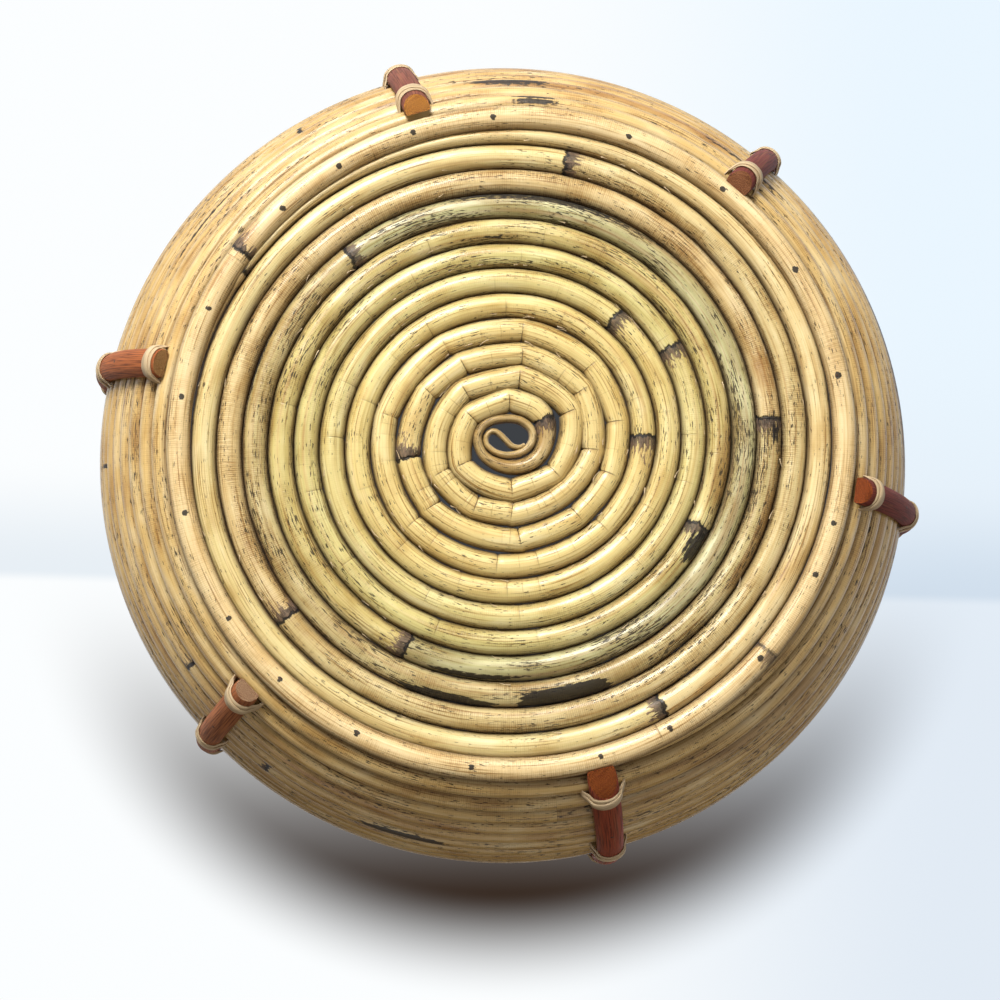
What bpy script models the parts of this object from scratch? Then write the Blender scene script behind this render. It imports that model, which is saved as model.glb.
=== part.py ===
"""Round basket coiled from whole rattan canes.

The floor is one cane wound flat from the middle outwards. A foot ring under its edge carries the
basket, and the wall is a second coil of six canes laid end to end that climbs from the ring to the
rim. Six split ribs run up the outside of the wall, each held by cane straps at its foot, at the
belly and at the rim, and brads pin the ring and the ribs.

The basket stands upright: +Z is up, the foot ring stands on z = 0 and its centre is the origin.
Angles run clockwise seen from above, the way the canes are wound.
"""
import math

import bmesh
import bpy
from mathutils import Vector

# Canes
CANE_DIAMETER = 0.0088
TURN_CLEARANCE = 0.0007
SEAT_CLEARANCE = 0.0001
BUTT_GAP = 0.0005
SIDES = 6

# Floor coil
FLOOR_START_RADIUS = 0.0119
FLOOR_START_ANGLE = 360
FLOOR_TURNS = 11.4
FLOOR_PARED_TURNS = 0.4
CURL_TURNS = 1.6
CURL_TIP_DIAMETER = 0.0024
FLOOR_TIP_DIAMETER = 0.0014
FLOOR_OFFSET_SHARE = 0.24
FLOOR_OFFSET_ANGLE = 195

# Foot ring
FOOT_CANE_DIAMETER = 0.0090
FOOT_PROUD = 0.0040
FOOT_FLAT_SHARE = 0.1
FOOT_SECTION_STEPS = 9
FOOT_JOINT_VERTEX = 16

# Wall
WALL_TURNS = 13
WALL_SEAT_ANGLE = 43
WALL_SLOPE = 50
WALL_BEND_RADIUS = 0.152
STEP_VERTICES = 5
WALL_JOINT_SHARES = (2 / 13, 3 / 13, 3.125 / 13, 5 / 13, 9 / 13)

# Ribs
RIB_ANGLES = (284.4, 351.4, 408.5, 466.0, 527.8, 583.4)
RIB_SPACE_VERTICES = 4
RIB_WIDTH = 0.0116
RIB_THICKNESS = 0.0060
RIB_SEAT_GAP = 0.0005
RIB_FLOOR_GAP = 0.0012
RIB_START_SHARES = (-0.55, 0.05, -0.5, -0.3, 0.12, 0.15)
RIB_SHOULDER_SHARE = 0.28
RIB_SOLE_SHARE = 0.82
RIB_STATIONS = 10
RIB_ARC_ANGLES = (0, 30, 60, 90, 120, 150, 180)

# Straps
STRAP_WIDTH = 0.0028
STRAP_THICKNESS = 0.0008
STRAP_SEAT_GAP = 0.0003
STRAP_SPREAD_SHARE = 0.52
STRAP_OVERLAP_SHARE = 0.35
STRAP_LEAN_SHARES = (0, 0.35, 0.62, 0.88, 1, 0.88, 0.62, 0.35, 0)
FOOT_STRAP_TURN = 0
BELLY_STRAP_TURN = 4
RIM_STRAP_TURNS_DOWN = 3

# Brads
BRAD_DIAMETER = 0.0014
BRAD_CLEARANCE = 0.0003
BRAD_SINK = 0.0002
BRAD_SIDES = 6
BRAD_INSET_SHARE = 0.15
BRAD_ANGLES = (11, 31, 50, 69, 93.5, 108, 122.5, 135, 157, 173, 193, 212.5, 226, 242, 262.5, 285,
               298, 318, 335.5, 345)
RIB_BRAD_TURN = 3.3
CUT_OVERRUN = 0.0020

SHARP_ANGLE = 35
MM_PER_METRE = 1000

# Worked out from the sizes above
CANE_RADIUS = CANE_DIAMETER / 2
FOOT_RADIUS = FOOT_CANE_DIAMETER / 2
PITCH = CANE_DIAMETER + TURN_CLEARANCE
FOOT_HEIGHT = FOOT_RADIUS - FOOT_FLAT_SHARE * FOOT_CANE_DIAMETER
FLOOR_HEIGHT = FOOT_HEIGHT + FOOT_PROUD

# Finishes: colour, roughness, metallic
STRAW = ((0.60, 0.42, 0.19), 0.45, 0.0)
PALE_STRAW = ((0.66, 0.49, 0.26), 0.48, 0.0)
PINK_STRAW = ((0.62, 0.43, 0.26), 0.45, 0.0)
RED_CANE = ((0.26, 0.09, 0.05), 0.55, 0.0)
STRAP_CANE = ((0.52, 0.38, 0.21), 0.60, 0.0)
DARK_STEEL = ((0.05, 0.04, 0.04), 0.50, 1.0)


def vertex_angles():
    """The angles of the points of one turn, in degrees: each rib stands at one of them."""
    angles = []
    for first, second in zip(RIB_ANGLES, RIB_ANGLES[1:] + (RIB_ANGLES[0] + 360,)):
        for step in range(RIB_SPACE_VERTICES):
            angles.append(first + (second - first) * step / RIB_SPACE_VERTICES)
    return [angles[-1] - 360] + angles[:-1]


TURN_ANGLES = vertex_angles()
TURN_VERTICES = len(TURN_ANGLES)


def angle_at(index):
    """The angle of point number index, in degrees, counted on through the turns."""
    return TURN_ANGLES[index % TURN_VERTICES] + 360 * (index // TURN_VERTICES)


def outward(degrees):
    """The level direction away from the middle at an angle."""
    turn = math.radians(degrees)
    return Vector((math.cos(turn), -math.sin(turn), 0))


def along(degrees):
    """The level direction in which the cane is wound at an angle."""
    turn = math.radians(degrees)
    return Vector((-math.sin(turn), -math.cos(turn), 0))


def place(radius, degrees, height):
    """A point by its radius, angle and height."""
    return outward(degrees) * radius + Vector((0, 0, height))


def finish(name, look):
    """A plain material of one colour, roughness and metallic value."""
    colour, roughness, metallic = look
    material = bpy.data.materials.new(name)
    material.use_nodes = True
    shader = material.node_tree.nodes["Principled BSDF"]
    shader.inputs["Base Color"].default_value = (*colour, 1)
    shader.inputs["Roughness"].default_value = roughness
    shader.inputs["Metallic"].default_value = metallic
    return material


def add(name, data, look):
    """Puts mesh or curve data into the scene as one named piece."""
    piece = bpy.data.objects.new(name, data)
    bpy.context.scene.collection.objects.link(piece)
    data.materials.append(finish(name, look))
    return piece


def cane(name, points, widths, look):
    """One unbroken cane: a tube along the points, as wide at each as the widths say."""
    curve = bpy.data.curves.new(name, "CURVE")
    curve.dimensions = "3D"
    curve.twist_mode = "Z_UP"
    curve.bevel_depth = CANE_RADIUS
    curve.bevel_resolution = SIDES // 2 - 2
    curve.use_fill_caps = True
    spline = curve.splines.new("POLY")
    spline.points.add(len(points) - 1)
    for knot, point, width in zip(spline.points, points, widths):
        knot.co = (*point, 1)
        knot.radius = width / CANE_DIAMETER
    return add(name, curve, look)


def solid(name, lofts, look):
    """A piece made of lofts: each is rows of points joined up, with an end face on both ends."""
    shape = bmesh.new()
    for rows in lofts:
        rings = [[shape.verts.new(point) for point in row] for row in rows]
        for one, two in zip(rings, rings[1:]):
            for side in range(len(one)):
                turn = (side + 1) % len(one)
                shape.faces.new((one[side], one[turn], two[turn], two[side]))
        shape.faces.new(rings[0])
        shape.faces.new(rings[-1])
    bmesh.ops.recalc_face_normals(shape, faces=shape.faces)
    mesh = bpy.data.meshes.new(name)
    shape.to_mesh(mesh)
    shape.free()
    mesh.shade_smooth()
    mesh.set_sharp_from_angle(angle=math.radians(SHARP_ANGLE))
    return add(name, mesh, look)


def peg(start, end, radius):
    """A round pin between two points, with as many sides as a brad."""
    axis = (end - start).normalized()
    across = axis.orthogonal().normalized()
    other = axis.cross(across)
    rows = []
    for centre in (start, end):
        rows.append([centre + (across * math.cos(turn) + other * math.sin(turn)) * radius
                     for turn in (2 * math.pi * side / BRAD_SIDES for side in range(BRAD_SIDES))])
    return rows


def combine(piece, lofts, operation):
    """Takes lofts away from a piece, or joins them to it. They are left out of the model."""
    guide = solid(piece.name + "_guide", lofts, DARK_STEEL)
    guide.hide_render = True
    guide.display_type = "WIRE"
    step = piece.modifiers.new(operation.lower(), "BOOLEAN")
    step.operation = operation
    step.solver = "EXACT"
    step.object = guide


def least_gap(points, widths):
    """The least gap between stretches of one cane that lie half a turn or more apart."""
    least = math.inf
    for first, point in enumerate(points):
        for second in range(first + TURN_VERTICES // 2, len(points) - 1):
            start, end = points[second], points[second + 1]
            run = end - start
            share = min(1, max(0, (point - start).dot(run) / run.length_squared))
            width = widths[second] + (widths[second + 1] - widths[second]) * share
            reach = (start + run * share - point).length
            least = min(least, reach - (width + widths[first]) / 2)
    return least


def floor_offset():
    """Where the middle of the floor coil lies: the widening turns sit off the ring's centre."""
    return outward(FLOOR_OFFSET_ANGLE) * FLOOR_OFFSET_SHARE * PITCH


def floor_line():
    """The floor cane's points and widths, from the thin curl in the middle to its pared end.

    Each turn lies one pitch outside the last. The curl's pitch shrinks with the cane. Where the
    foot ring's inner edge closes in, the cane is pared to the width that is left.
    """
    offset = floor_offset()
    indices = [index for index in range(-2 * TURN_VERTICES, round((FLOOR_TURNS + 1) * TURN_VERTICES))
               if -CURL_TURNS <= floor_turns(index) <= FLOOR_TURNS]
    full_edge = max(floor_edge(index) for index in indices
                    if floor_turns(index) <= FLOOR_TURNS - FLOOR_PARED_TURNS)
    points, widths = [], []
    for index in indices:
        turns = floor_turns(index)
        radius, width = floor_turn(turns)
        ray = outward(angle_at(index))
        aside = offset.dot(ray)
        across = (offset - ray * aside).length
        limit = math.sqrt(full_edge ** 2 - across ** 2) - aside
        inner = radius - width / 2
        if limit < radius + width / 2:
            width = limit - inner
            radius = inner + width / 2
        if width < FLOOR_TIP_DIAMETER and turns > 0:
            break
        points.append(offset + ray * radius + Vector((0, 0, FLOOR_HEIGHT)))
        widths.append(width)
    return points, widths


def floor_turns(index):
    """How many turns a point lies past the one where the floor cane reaches its full width."""
    return (angle_at(index) - FLOOR_START_ANGLE) / 360


def floor_turn(turns):
    """The floor cane's radius and width after so many full turns; below zero is the curl."""
    if turns >= 0:
        return FLOOR_START_RADIUS + PITCH * turns, CANE_DIAMETER
    thinning = (CANE_DIAMETER - CURL_TIP_DIAMETER) / CURL_TURNS
    width = CANE_DIAMETER + thinning * turns
    radius = FLOOR_START_RADIUS + PITCH * turns + thinning * turns ** 2 / 2
    return radius, width


def floor_edge(index):
    """How far the floor's outer edge is from the ring's centre at a point of full width."""
    radius, width = floor_turn(floor_turns(index))
    return (floor_offset() + outward(angle_at(index)) * radius).length + width / 2


FLOOR_POINTS, FLOOR_WIDTHS = floor_line()


def ring_radius():
    """The radius at which the foot ring's round section just clears every point of the floor."""
    radius = 0
    for point, width in zip(FLOOR_POINTS, FLOOR_WIDTHS):
        reach = FOOT_RADIUS + width / 2 + SEAT_CLEARANCE
        radius = max(radius, point.xy.length + math.sqrt(reach ** 2 - FOOT_PROUD ** 2))
    return radius


RING_RADIUS = ring_radius()
SEAT_REACH = CANE_RADIUS + FOOT_RADIUS + TURN_CLEARANCE
WALL_RADIUS = RING_RADIUS + SEAT_REACH * math.cos(math.radians(WALL_SEAT_ANGLE))
WALL_HEIGHT = FOOT_HEIGHT + SEAT_REACH * math.sin(math.radians(WALL_SEAT_ANGLE))


def wall_slope(run):
    """The wall's slope, in radians, after a run up from the foot. Below the foot it is straight."""
    return math.radians(WALL_SLOPE) + max(run, 0) / WALL_BEND_RADIUS


def wall_point(run, degrees, lift=0, aside=0):
    """A point of the wall: so far up its section, at an angle, lifted off it and moved aside."""
    low, slope = math.radians(WALL_SLOPE), wall_slope(run)
    under = min(run, 0)
    radius = WALL_RADIUS + WALL_BEND_RADIUS * (math.sin(slope) - math.sin(low))
    height = WALL_HEIGHT + WALL_BEND_RADIUS * (math.cos(low) - math.cos(slope))
    radius += under * math.cos(slope) + lift * math.sin(slope)
    height += under * math.sin(slope) - lift * math.cos(slope)
    return place(radius, degrees, height) + along(degrees) * aside


def wall_level(index):
    """How many pitches up the wall its cane lies at a point.

    It runs level round the basket and climbs one pitch over the same few points of every turn.
    """
    turn, vertex = divmod(index, TURN_VERTICES)
    return turn - 1 + min(1, vertex / STEP_VERTICES)


def wall_spot(index):
    """The run up the wall and the width of the wall cane at a point.

    The first points lie under the step as a growing wedge, and the last ones above it as a
    shrinking one, so the foot and the rim stay level.
    """
    share = index % TURN_VERTICES / STEP_VERTICES
    if index < STEP_VERTICES:
        return (share - 1) / 2 * PITCH, share * PITCH - TURN_CLEARANCE
    if index > WALL_TURNS * TURN_VERTICES:
        return (WALL_TURNS - 1 + share / 2) * PITCH, (1 - share) * PITCH - TURN_CLEARANCE
    return wall_level(index) * PITCH, CANE_DIAMETER


def wall_line(index):
    """The middle of the wall cane at a point."""
    return wall_point(wall_spot(index)[0], angle_at(index))


def wall_canes():
    """The wall's canes, laid end to end with a butt joint between one and the next."""
    first, last = 1, WALL_TURNS * TURN_VERTICES + STEP_VERTICES - 1
    joints = [round(share * WALL_TURNS * TURN_VERTICES) for share in WALL_JOINT_SHARES]
    for number, (low, high) in enumerate(zip([first] + joints, joints + [last]), 1):
        indices = range(low + (low != first), high + 1)
        points = [wall_line(index) for index in indices]
        widths = [wall_spot(index)[1] for index in indices]
        if low != first:
            points.insert(0, cut_end(low, 1))
            widths.insert(0, CANE_DIAMETER)
        if high != last:
            points.append(cut_end(high, -1))
            widths.append(CANE_DIAMETER)
        name = f"wall_cane_{number}"
        cane(name, points, widths, STRAW if number % 2 else PALE_STRAW)
        if len(points) > TURN_VERTICES // 2:
            print(f"{name}: least gap to itself {least_gap(points, widths) * MM_PER_METRE:.2f} mm")


def cut_end(index, side):
    """A cut end of a wall cane, halfway to the next point, on one side of the butt joint there."""
    start, end = wall_line(index), wall_line(index + 1)
    return (start + end) / 2 + (end - start).normalized() * side * BUTT_GAP / 2


def floor_coil():
    """The floor: one cane, wound flat."""
    cane("floor_coil", FLOOR_POINTS, FLOOR_WIDTHS, STRAW)
    gap = least_gap(FLOOR_POINTS, FLOOR_WIDTHS) * MM_PER_METRE
    print(f"floor_coil: least gap to itself {gap:.2f} mm")


def foot_section():
    """The foot cane's section as (outward, up) pairs: round, with a flat worn underneath."""
    flat = math.acos(FOOT_HEIGHT / FOOT_RADIUS)
    start, end = flat - math.pi / 2, 3 * math.pi / 2 - flat
    turns = [start + (end - start) * step / FOOT_SECTION_STEPS
             for step in range(FOOT_SECTION_STEPS + 1)]
    return [(FOOT_RADIUS * math.cos(turn), FOOT_RADIUS * math.sin(turn)) for turn in turns]


def foot_ring():
    """The hoop that the basket stands on, with its butt joint, and the brads that pin it."""
    rows = []
    first = FOOT_JOINT_VERTEX
    for index in range(first, first + TURN_VERTICES + 1):
        degrees = angle_at(index)
        slip = along(degrees) * BUTT_GAP / 2
        if index == first + TURN_VERTICES:
            slip = -slip
        elif index != first:
            slip = Vector()
        rows.append([place(RING_RADIUS + out, degrees, FOOT_HEIGHT + up) + slip
                     for out, up in foot_section()])
    ring = solid("foot_ring", [rows], PINK_STRAW)
    holes = []
    for number, degrees in enumerate(BRAD_ANGLES, 1):
        radius = brad_circle(degrees)
        low = place(radius, degrees, 0)
        high = place(radius, degrees, FOOT_HEIGHT + FOOT_RADIUS)
        up = (high - low).normalized()
        brad = peg(low + up * BRAD_SINK, high - up * BRAD_SINK, BRAD_DIAMETER / 2)
        solid(f"foot_brad_{number}", [brad], DARK_STEEL)
        holes.append(peg(low - up * CUT_OVERRUN, high + up * CUT_OVERRUN,
                         BRAD_DIAMETER / 2 + BRAD_CLEARANCE))
    combine(ring, holes, "DIFFERENCE")


def brad_circle(degrees):
    """The radius of a brad in the foot ring, whose sides are straight between its points."""
    if degrees < TURN_ANGLES[0]:
        degrees += 360
    after = next(index for index in range(2 * TURN_VERTICES) if angle_at(index) > degrees)
    low, high = angle_at(after - 1), angle_at(after)
    middle, half = math.radians(degrees - (low + high) / 2), math.radians((high - low) / 2)
    side = RING_RADIUS * math.cos(half) / math.cos(middle)
    return side - BRAD_INSET_SHARE * FOOT_RADIUS


def rib_vertices():
    """The numbers of the points of a turn at which the ribs stand."""
    return [1 + RIB_SPACE_VERTICES * number for number in range(len(RIB_ANGLES))]


def rib_section():
    """A rib's section as (aside, lift) pairs: a flat sole and a round back."""
    half = RIB_WIDTH / 2
    sole = CANE_RADIUS + RIB_SEAT_GAP
    shoulder = sole + RIB_SHOULDER_SHARE * RIB_THICKNESS
    crown = RIB_THICKNESS - RIB_SHOULDER_SHARE * RIB_THICKNESS
    arc = [(half * math.cos(turn), shoulder + crown * math.sin(turn))
           for turn in map(math.radians, RIB_ARC_ANGLES)]
    return arc + [(-half * RIB_SOLE_SHARE, sole), (half * RIB_SOLE_SHARE, sole)]


def rib_start(share, lift):
    """Where a rib starts on the wall: its sole as the share says, its back clear of the ground."""
    slope = math.radians(WALL_SLOPE)
    clear = (RIB_FLOOR_GAP + lift * math.cos(slope) - WALL_HEIGHT) / math.sin(slope)
    return max(share * PITCH, clear)


def ribs():
    """The six split canes up the outside of the wall, each drilled for one brad."""
    top = (WALL_TURNS - 1) * PITCH
    pin_run = RIB_BRAD_TURN * PITCH
    sole, back = CANE_RADIUS + RIB_SEAT_GAP, CANE_RADIUS + RIB_SEAT_GAP + RIB_THICKNESS
    for number, (vertex, share) in enumerate(zip(rib_vertices(), RIB_START_SHARES), 1):
        degrees = angle_at(vertex)
        rows = []
        for station in range(RIB_STATIONS):
            row = []
            for aside, lift in rib_section():
                start = rib_start(share, lift)
                run = start + (top - start) * station / (RIB_STATIONS - 1)
                row.append(wall_point(run, degrees, lift, aside))
            rows.append(row)
        rib = solid(f"rib_{number}", [rows], RED_CANE)
        low, high = wall_point(pin_run, degrees, sole), wall_point(pin_run, degrees, back)
        out = (high - low).normalized()
        hole = peg(low - out * CUT_OVERRUN, high + out * CUT_OVERRUN,
                   BRAD_DIAMETER / 2 + BRAD_CLEARANCE)
        combine(rib, [hole], "DIFFERENCE")
        solid(f"rib_brad_{number}", [peg(low, high - out * BRAD_SINK, BRAD_DIAMETER / 2)], DARK_STEEL)


def groove(index, side):
    """A point in the groove above the wall cane: at a point of the turn, or one to a side of it."""
    return wall_point((wall_level(index + side) + 1 / 2) * PITCH, angle_at(index + side))


def strap_line():
    """A strap's middle line over a rib as (aside, lift) pairs, from groove to groove."""
    room = max(0, (PITCH - STRAP_WIDTH) / 2 - STRAP_SEAT_GAP)
    foot = math.sqrt(max(0, CANE_RADIUS ** 2 - room ** 2)) + STRAP_THICKNESS / 2
    offset = STRAP_SEAT_GAP + STRAP_THICKNESS / 2
    half = RIB_WIDTH / 2 + offset
    shoulder = CANE_RADIUS + RIB_SEAT_GAP + RIB_SHOULDER_SHARE * RIB_THICKNESS
    crown = (1 - RIB_SHOULDER_SHARE) * RIB_THICKNESS + offset
    spread = RIB_WIDTH / 2 * (1 + STRAP_SPREAD_SHARE)
    arc = [(half * math.cos(turn), shoulder + crown * math.sin(turn))
           for turn in map(math.radians, RIB_ARC_ANGLES)]
    return [(spread, foot)] + arc + [(-spread, foot)]


def strap(vertex, turn, lean, raised):
    """One pass of a strap over the rib at a vertex, from the groove above a turn of the wall.

    The lean moves its middle up or down the rib, until it meets the strap's other pass, and a
    raised pass lies partly on top of that one.
    """
    index = vertex + TURN_VERTICES * (turn + (vertex < STEP_VERTICES))
    degrees = angle_at(index)
    base = (wall_level(index) + 1 / 2) * PITCH
    line = strap_line()
    rows = []
    for number, (aside, lift) in enumerate(line):
        before, after = line[max(number - 1, 0)], line[min(number + 1, len(line) - 1)]
        course = Vector((after[0] - before[0], after[1] - before[1])).normalized()
        run = base + lean * STRAP_LEAN_SHARES[number]
        lift += raised * STRAP_LEAN_SHARES[number]
        if number in (0, len(line) - 1):
            run, sink = groove_at(index, aside)
        else:
            sink = 0
        row = []
        for across, out in ((1, 1), (-1, 1), (-1, -1), (1, -1)):
            step = out * STRAP_THICKNESS / 2
            row.append(wall_point(run + across * STRAP_WIDTH / 2, degrees,
                                  lift + course.x * -step - sink, aside + course.y * step))
        rows.append(row)
    return rows


def groove_at(index, aside):
    """The run of a groove beside a rib, and how far the straight-sided wall has drawn in there."""
    side = 1 if aside > 0 else -1
    here, there = groove(index, 0), groove(index, side)
    share = abs(aside) / (there - here).length
    spot = here.lerp(there, share)
    run = (wall_level(index) + (wall_level(index + side) - wall_level(index)) * share + 1 / 2) * PITCH
    slope = wall_slope(run)
    flush = wall_point(run, angle_at(index), 0, aside)
    drawn_in = (flush - spot).dot(outward(angle_at(index)))
    return run - drawn_in * math.cos(slope), drawn_in * math.sin(slope)


def straps():
    """The straps of each rib at its foot, at the belly and at the rim.

    Each is one strip that passes twice over the rib, where its passes overlap and are joined.
    """
    lean = (PITCH - STRAP_WIDTH * (1 - STRAP_OVERLAP_SHARE)) / 2
    raised = STRAP_THICKNESS / 2
    turns = {"foot": FOOT_STRAP_TURN, "belly": BELLY_STRAP_TURN,
             "rim": WALL_TURNS - RIM_STRAP_TURNS_DOWN}
    for number, vertex in enumerate(rib_vertices(), 1):
        for name, turn in turns.items():
            piece = solid(f"{name}_strap_{number}", [strap(vertex, turn, lean, 0)], STRAP_CANE)
            combine(piece, [strap(vertex, turn + 1, -lean, raised)], "UNION")


def clear_scene():
    """Takes away whatever the scene holds."""
    for piece in list(bpy.data.objects):
        bpy.data.objects.remove(piece, do_unlink=True)


clear_scene()
floor_coil()
foot_ring()
wall_canes()
ribs()
straps()
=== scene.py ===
"""Looks of a round basket coiled from whole rattan canes, seen from below.

The basket stands upright on its foot ring and the camera looks up at its underside. Every piece is a
grid surface worked out with numpy in the place of the solid that it stands for. Angles run
anticlockwise in the picture, which is clockwise seen from above, the way the canes are wound.
"""
import logging
import math
from dataclasses import dataclass, field
from enum import Enum
from typing import Callable

import bpy
import numpy as np
from mathutils import Matrix, Vector


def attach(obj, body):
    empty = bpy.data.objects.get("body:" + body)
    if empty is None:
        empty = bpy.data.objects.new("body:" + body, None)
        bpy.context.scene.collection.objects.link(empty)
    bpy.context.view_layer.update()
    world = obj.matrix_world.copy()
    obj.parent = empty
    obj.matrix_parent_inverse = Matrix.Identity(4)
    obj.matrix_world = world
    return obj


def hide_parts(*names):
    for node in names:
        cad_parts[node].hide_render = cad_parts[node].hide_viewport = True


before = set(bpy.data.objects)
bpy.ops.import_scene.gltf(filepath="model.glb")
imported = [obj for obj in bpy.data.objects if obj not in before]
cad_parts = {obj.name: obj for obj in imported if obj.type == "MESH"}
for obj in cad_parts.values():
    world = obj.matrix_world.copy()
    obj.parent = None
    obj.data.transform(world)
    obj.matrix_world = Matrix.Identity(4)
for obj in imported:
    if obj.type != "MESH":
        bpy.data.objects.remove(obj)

Array = np.ndarray
LOG = logging.getLogger("basket")
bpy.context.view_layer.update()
BODY = "root"
UP = np.array([0.0, 0.0, 1.0])
FAR = 99.0
START = -9999


class Slot(Enum):
    """The material slots that the pieces take their finish from."""

    STRAW = "straw_cane"
    PALE = "pale_cane"
    PINK = "pink_cane"
    RIB = "rib_cane"
    STRAP = "strap_cane"
    STEEL = "brad_steel"


# ---- shader maths


def operator(operation: str, swapped: bool = False) -> Callable:
    """Makes a Python operator of a Math node.

    Args:
        operation: what the node does.
        swapped: whether the other number comes first.

    Returns:
        A method that takes the other number and gives the node's result.
    """
    def run(value: "Value", other: "Value | float") -> "Value":
        """Runs the node on the two numbers."""
        terms = (other, value) if swapped else (value, other)
        return value.shader.maths(operation, *terms)
    return run


@dataclass(frozen=True)
class Value:
    """A number, colour or vector that comes out of a node, with the usual operators."""

    shader: "Shader"
    socket: bpy.types.NodeSocket

    __add__ = __radd__ = operator("ADD")
    __mul__ = __rmul__ = operator("MULTIPLY")
    __sub__ = operator("SUBTRACT")
    __rsub__ = operator("SUBTRACT", True)
    __truediv__ = operator("DIVIDE")

    def __abs__(self) -> "Value":
        """The size of the number."""
        return self.shader.maths("ABSOLUTE", self)

    def step(self, low: float, high: float) -> "Value":
        """Rises smoothly from 0 at low to 1 at high; falls where low is the greater.

        Args:
            low: the number at which the step is 0.
            high: the number at which it is 1.

        Returns:
            The step, from 0 to 1.
        """
        sockets = {"Value": self, "From Min": min(low, high), "From Max": max(low, high),
                   "To Min": float(low > high), "To Max": float(low <= high)}
        return self.shader.value("ShaderNodeMapRange", {"interpolation_type": "SMOOTHSTEP"}, sockets)


class Shader:
    """The nodes of one material, or of the world."""

    def __init__(self, name: str = "", world: bpy.types.World | None = None) -> None:
        """Starts a material with a Principled shader, or takes the world's Background.

        Args:
            name: the material's name.
            world: the world, where the nodes are its own.
        """
        self.material = None if world else bpy.data.materials.new(name)
        owner = world or self.material
        owner.use_nodes = True
        self.tree = owner.node_tree
        self.surface = self.tree.nodes["Background" if world else "Principled BSDF"]

    def node(self, kind: str, settings: dict | None = None,
             sockets: dict | None = None) -> bpy.types.Node:
        """Adds a node.

        Args:
            kind: the node's type.
            settings: its settings, which are set first.
            sockets: the values or links of its sockets, by name or number.

        Returns:
            The node.
        """
        made = self.tree.nodes.new(kind)
        for key, setting in (settings or {}).items():
            setattr(made, key, setting)
        for key, value in (sockets or {}).items():
            self.feed(made.inputs[key], value)
        return made

    def feed(self, socket: bpy.types.NodeSocket, value: "Value | float | tuple") -> None:
        """Links or sets a socket.

        Args:
            socket: the socket.
            value: what it gets.
        """
        if isinstance(value, Value):
            self.tree.links.new(value.socket, socket)
        elif isinstance(value, tuple) and socket.type == "RGBA":
            socket.default_value = (*value, 1)
        else:
            socket.default_value = value

    def value(self, kind: str, settings: dict | None = None, sockets: dict | None = None,
              out: int | str = 0) -> Value:
        """Adds a node and gives one of its outputs.

        Args:
            kind: the node's type.
            settings: its settings.
            sockets: the values or links of its sockets.
            out: the output's name or number.

        Returns:
            The output.
        """
        return Value(self, self.node(kind, settings, sockets).outputs[out])

    def maths(self, operation: str, *terms: Value | float) -> Value:
        """Adds a Math node.

        Args:
            operation: what it does.
            terms: its numbers.

        Returns:
            Its result.
        """
        return self.value("ShaderNodeMath", {"operation": operation}, dict(enumerate(terms)))

    def mix(self, share: Value | float, first: Value | tuple, second: Value | tuple,
            blend: str = "MIX") -> Value:
        """Mixes two colours.

        Args:
            share: how much of the second shows.
            first: the first colour.
            second: the second colour.
            blend: how the second goes on the first.

        Returns:
            The mixed colour.
        """
        settings = {"data_type": "RGBA", "blend_type": blend, "clamp_factor": True}
        return self.value("ShaderNodeMix", settings, {0: share, 6: first, 7: second}, 2)

    def stain(self, colour: Value | tuple, *layers: tuple) -> Value:
        """Multiplies a colour by others, one after the other.

        Args:
            colour: the colour.
            layers: how much of each other colour shows, and that colour.

        Returns:
            The stained colour.
        """
        for share, tint in layers:
            colour = self.mix(share, colour, tint, "MULTIPLY")
        return colour

    def vector(self, x: Value | float, y: Value | float, z: Value | float = 0.0) -> Value:
        """A vector of three numbers."""
        return self.value("ShaderNodeCombineXYZ", None, {0: x, 1: y, 2: z})

    def noise(self, x: Value, y: Value, z: Value | float = 0.0, detail: float = 2.0) -> Value:
        """Soft noise, around 0.5, whose grain is 1 in each of its coordinates.

        Args:
            x: the first coordinate.
            y: the second coordinate.
            z: the third coordinate, or a number of its own for each use.
            detail: how many finer layers it has.

        Returns:
            The noise, from 0 to 1.
        """
        return self.value("ShaderNodeTexNoise", None,
                          {"Vector": self.vector(x, y, z), "Scale": 1.0, "Detail": detail})

    def attribute(self, name: str, out: str = "Fac") -> Value:
        """An attribute of the piece's own mesh."""
        return self.value("ShaderNodeAttribute", {"attribute_name": name}, None, out)

    def parts(self, colour: Value) -> tuple[Value, Value, Value]:
        """The three numbers of a colour or vector."""
        made = self.node("ShaderNodeSeparateXYZ", None, {0: colour})
        return tuple(Value(self, made.outputs[place]) for place in range(3))

    def place(self, kind: str) -> tuple[Value, Value, Value]:
        """The three texture coordinates of a kind, such as Object or Generated."""
        return self.parts(self.value("ShaderNodeTexCoord", None, None, kind))

    def cane(self) -> tuple[Value, Value]:
        """How far along its cane and how far round it a point lies, in metres."""
        return self.parts(self.value("ShaderNodeUVMap", {"uv_map": "cane"}))[:2]

    def grains(self, rows: tuple) -> list[Value]:
        """Makes noises that are drawn out along the cane.

        Args:
            rows: for each, its grains in a metre along and round the cane, and its finer layers.

        Returns:
            The noises.
        """
        run, around = self.cane()
        return [self.noise(run * length, around * girth, float(number), float(layers))
                for number, (length, girth, layers) in enumerate(rows, 1)]

    def ray(self, *kinds: str) -> Value:
        """Whether the ray is of one of some kinds.

        Args:
            kinds: the kinds, such as Camera or Glossy.

        Returns:
            1 where it is, and 0 elsewhere.
        """
        outputs = self.node("ShaderNodeLightPath").outputs
        seen = Value(self, outputs[f"Is {kinds[0]} Ray"])
        for kind in kinds[1:]:
            seen = self.maths("MAXIMUM", seen, Value(self, outputs[f"Is {kind} Ray"]))
        return seen

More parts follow.
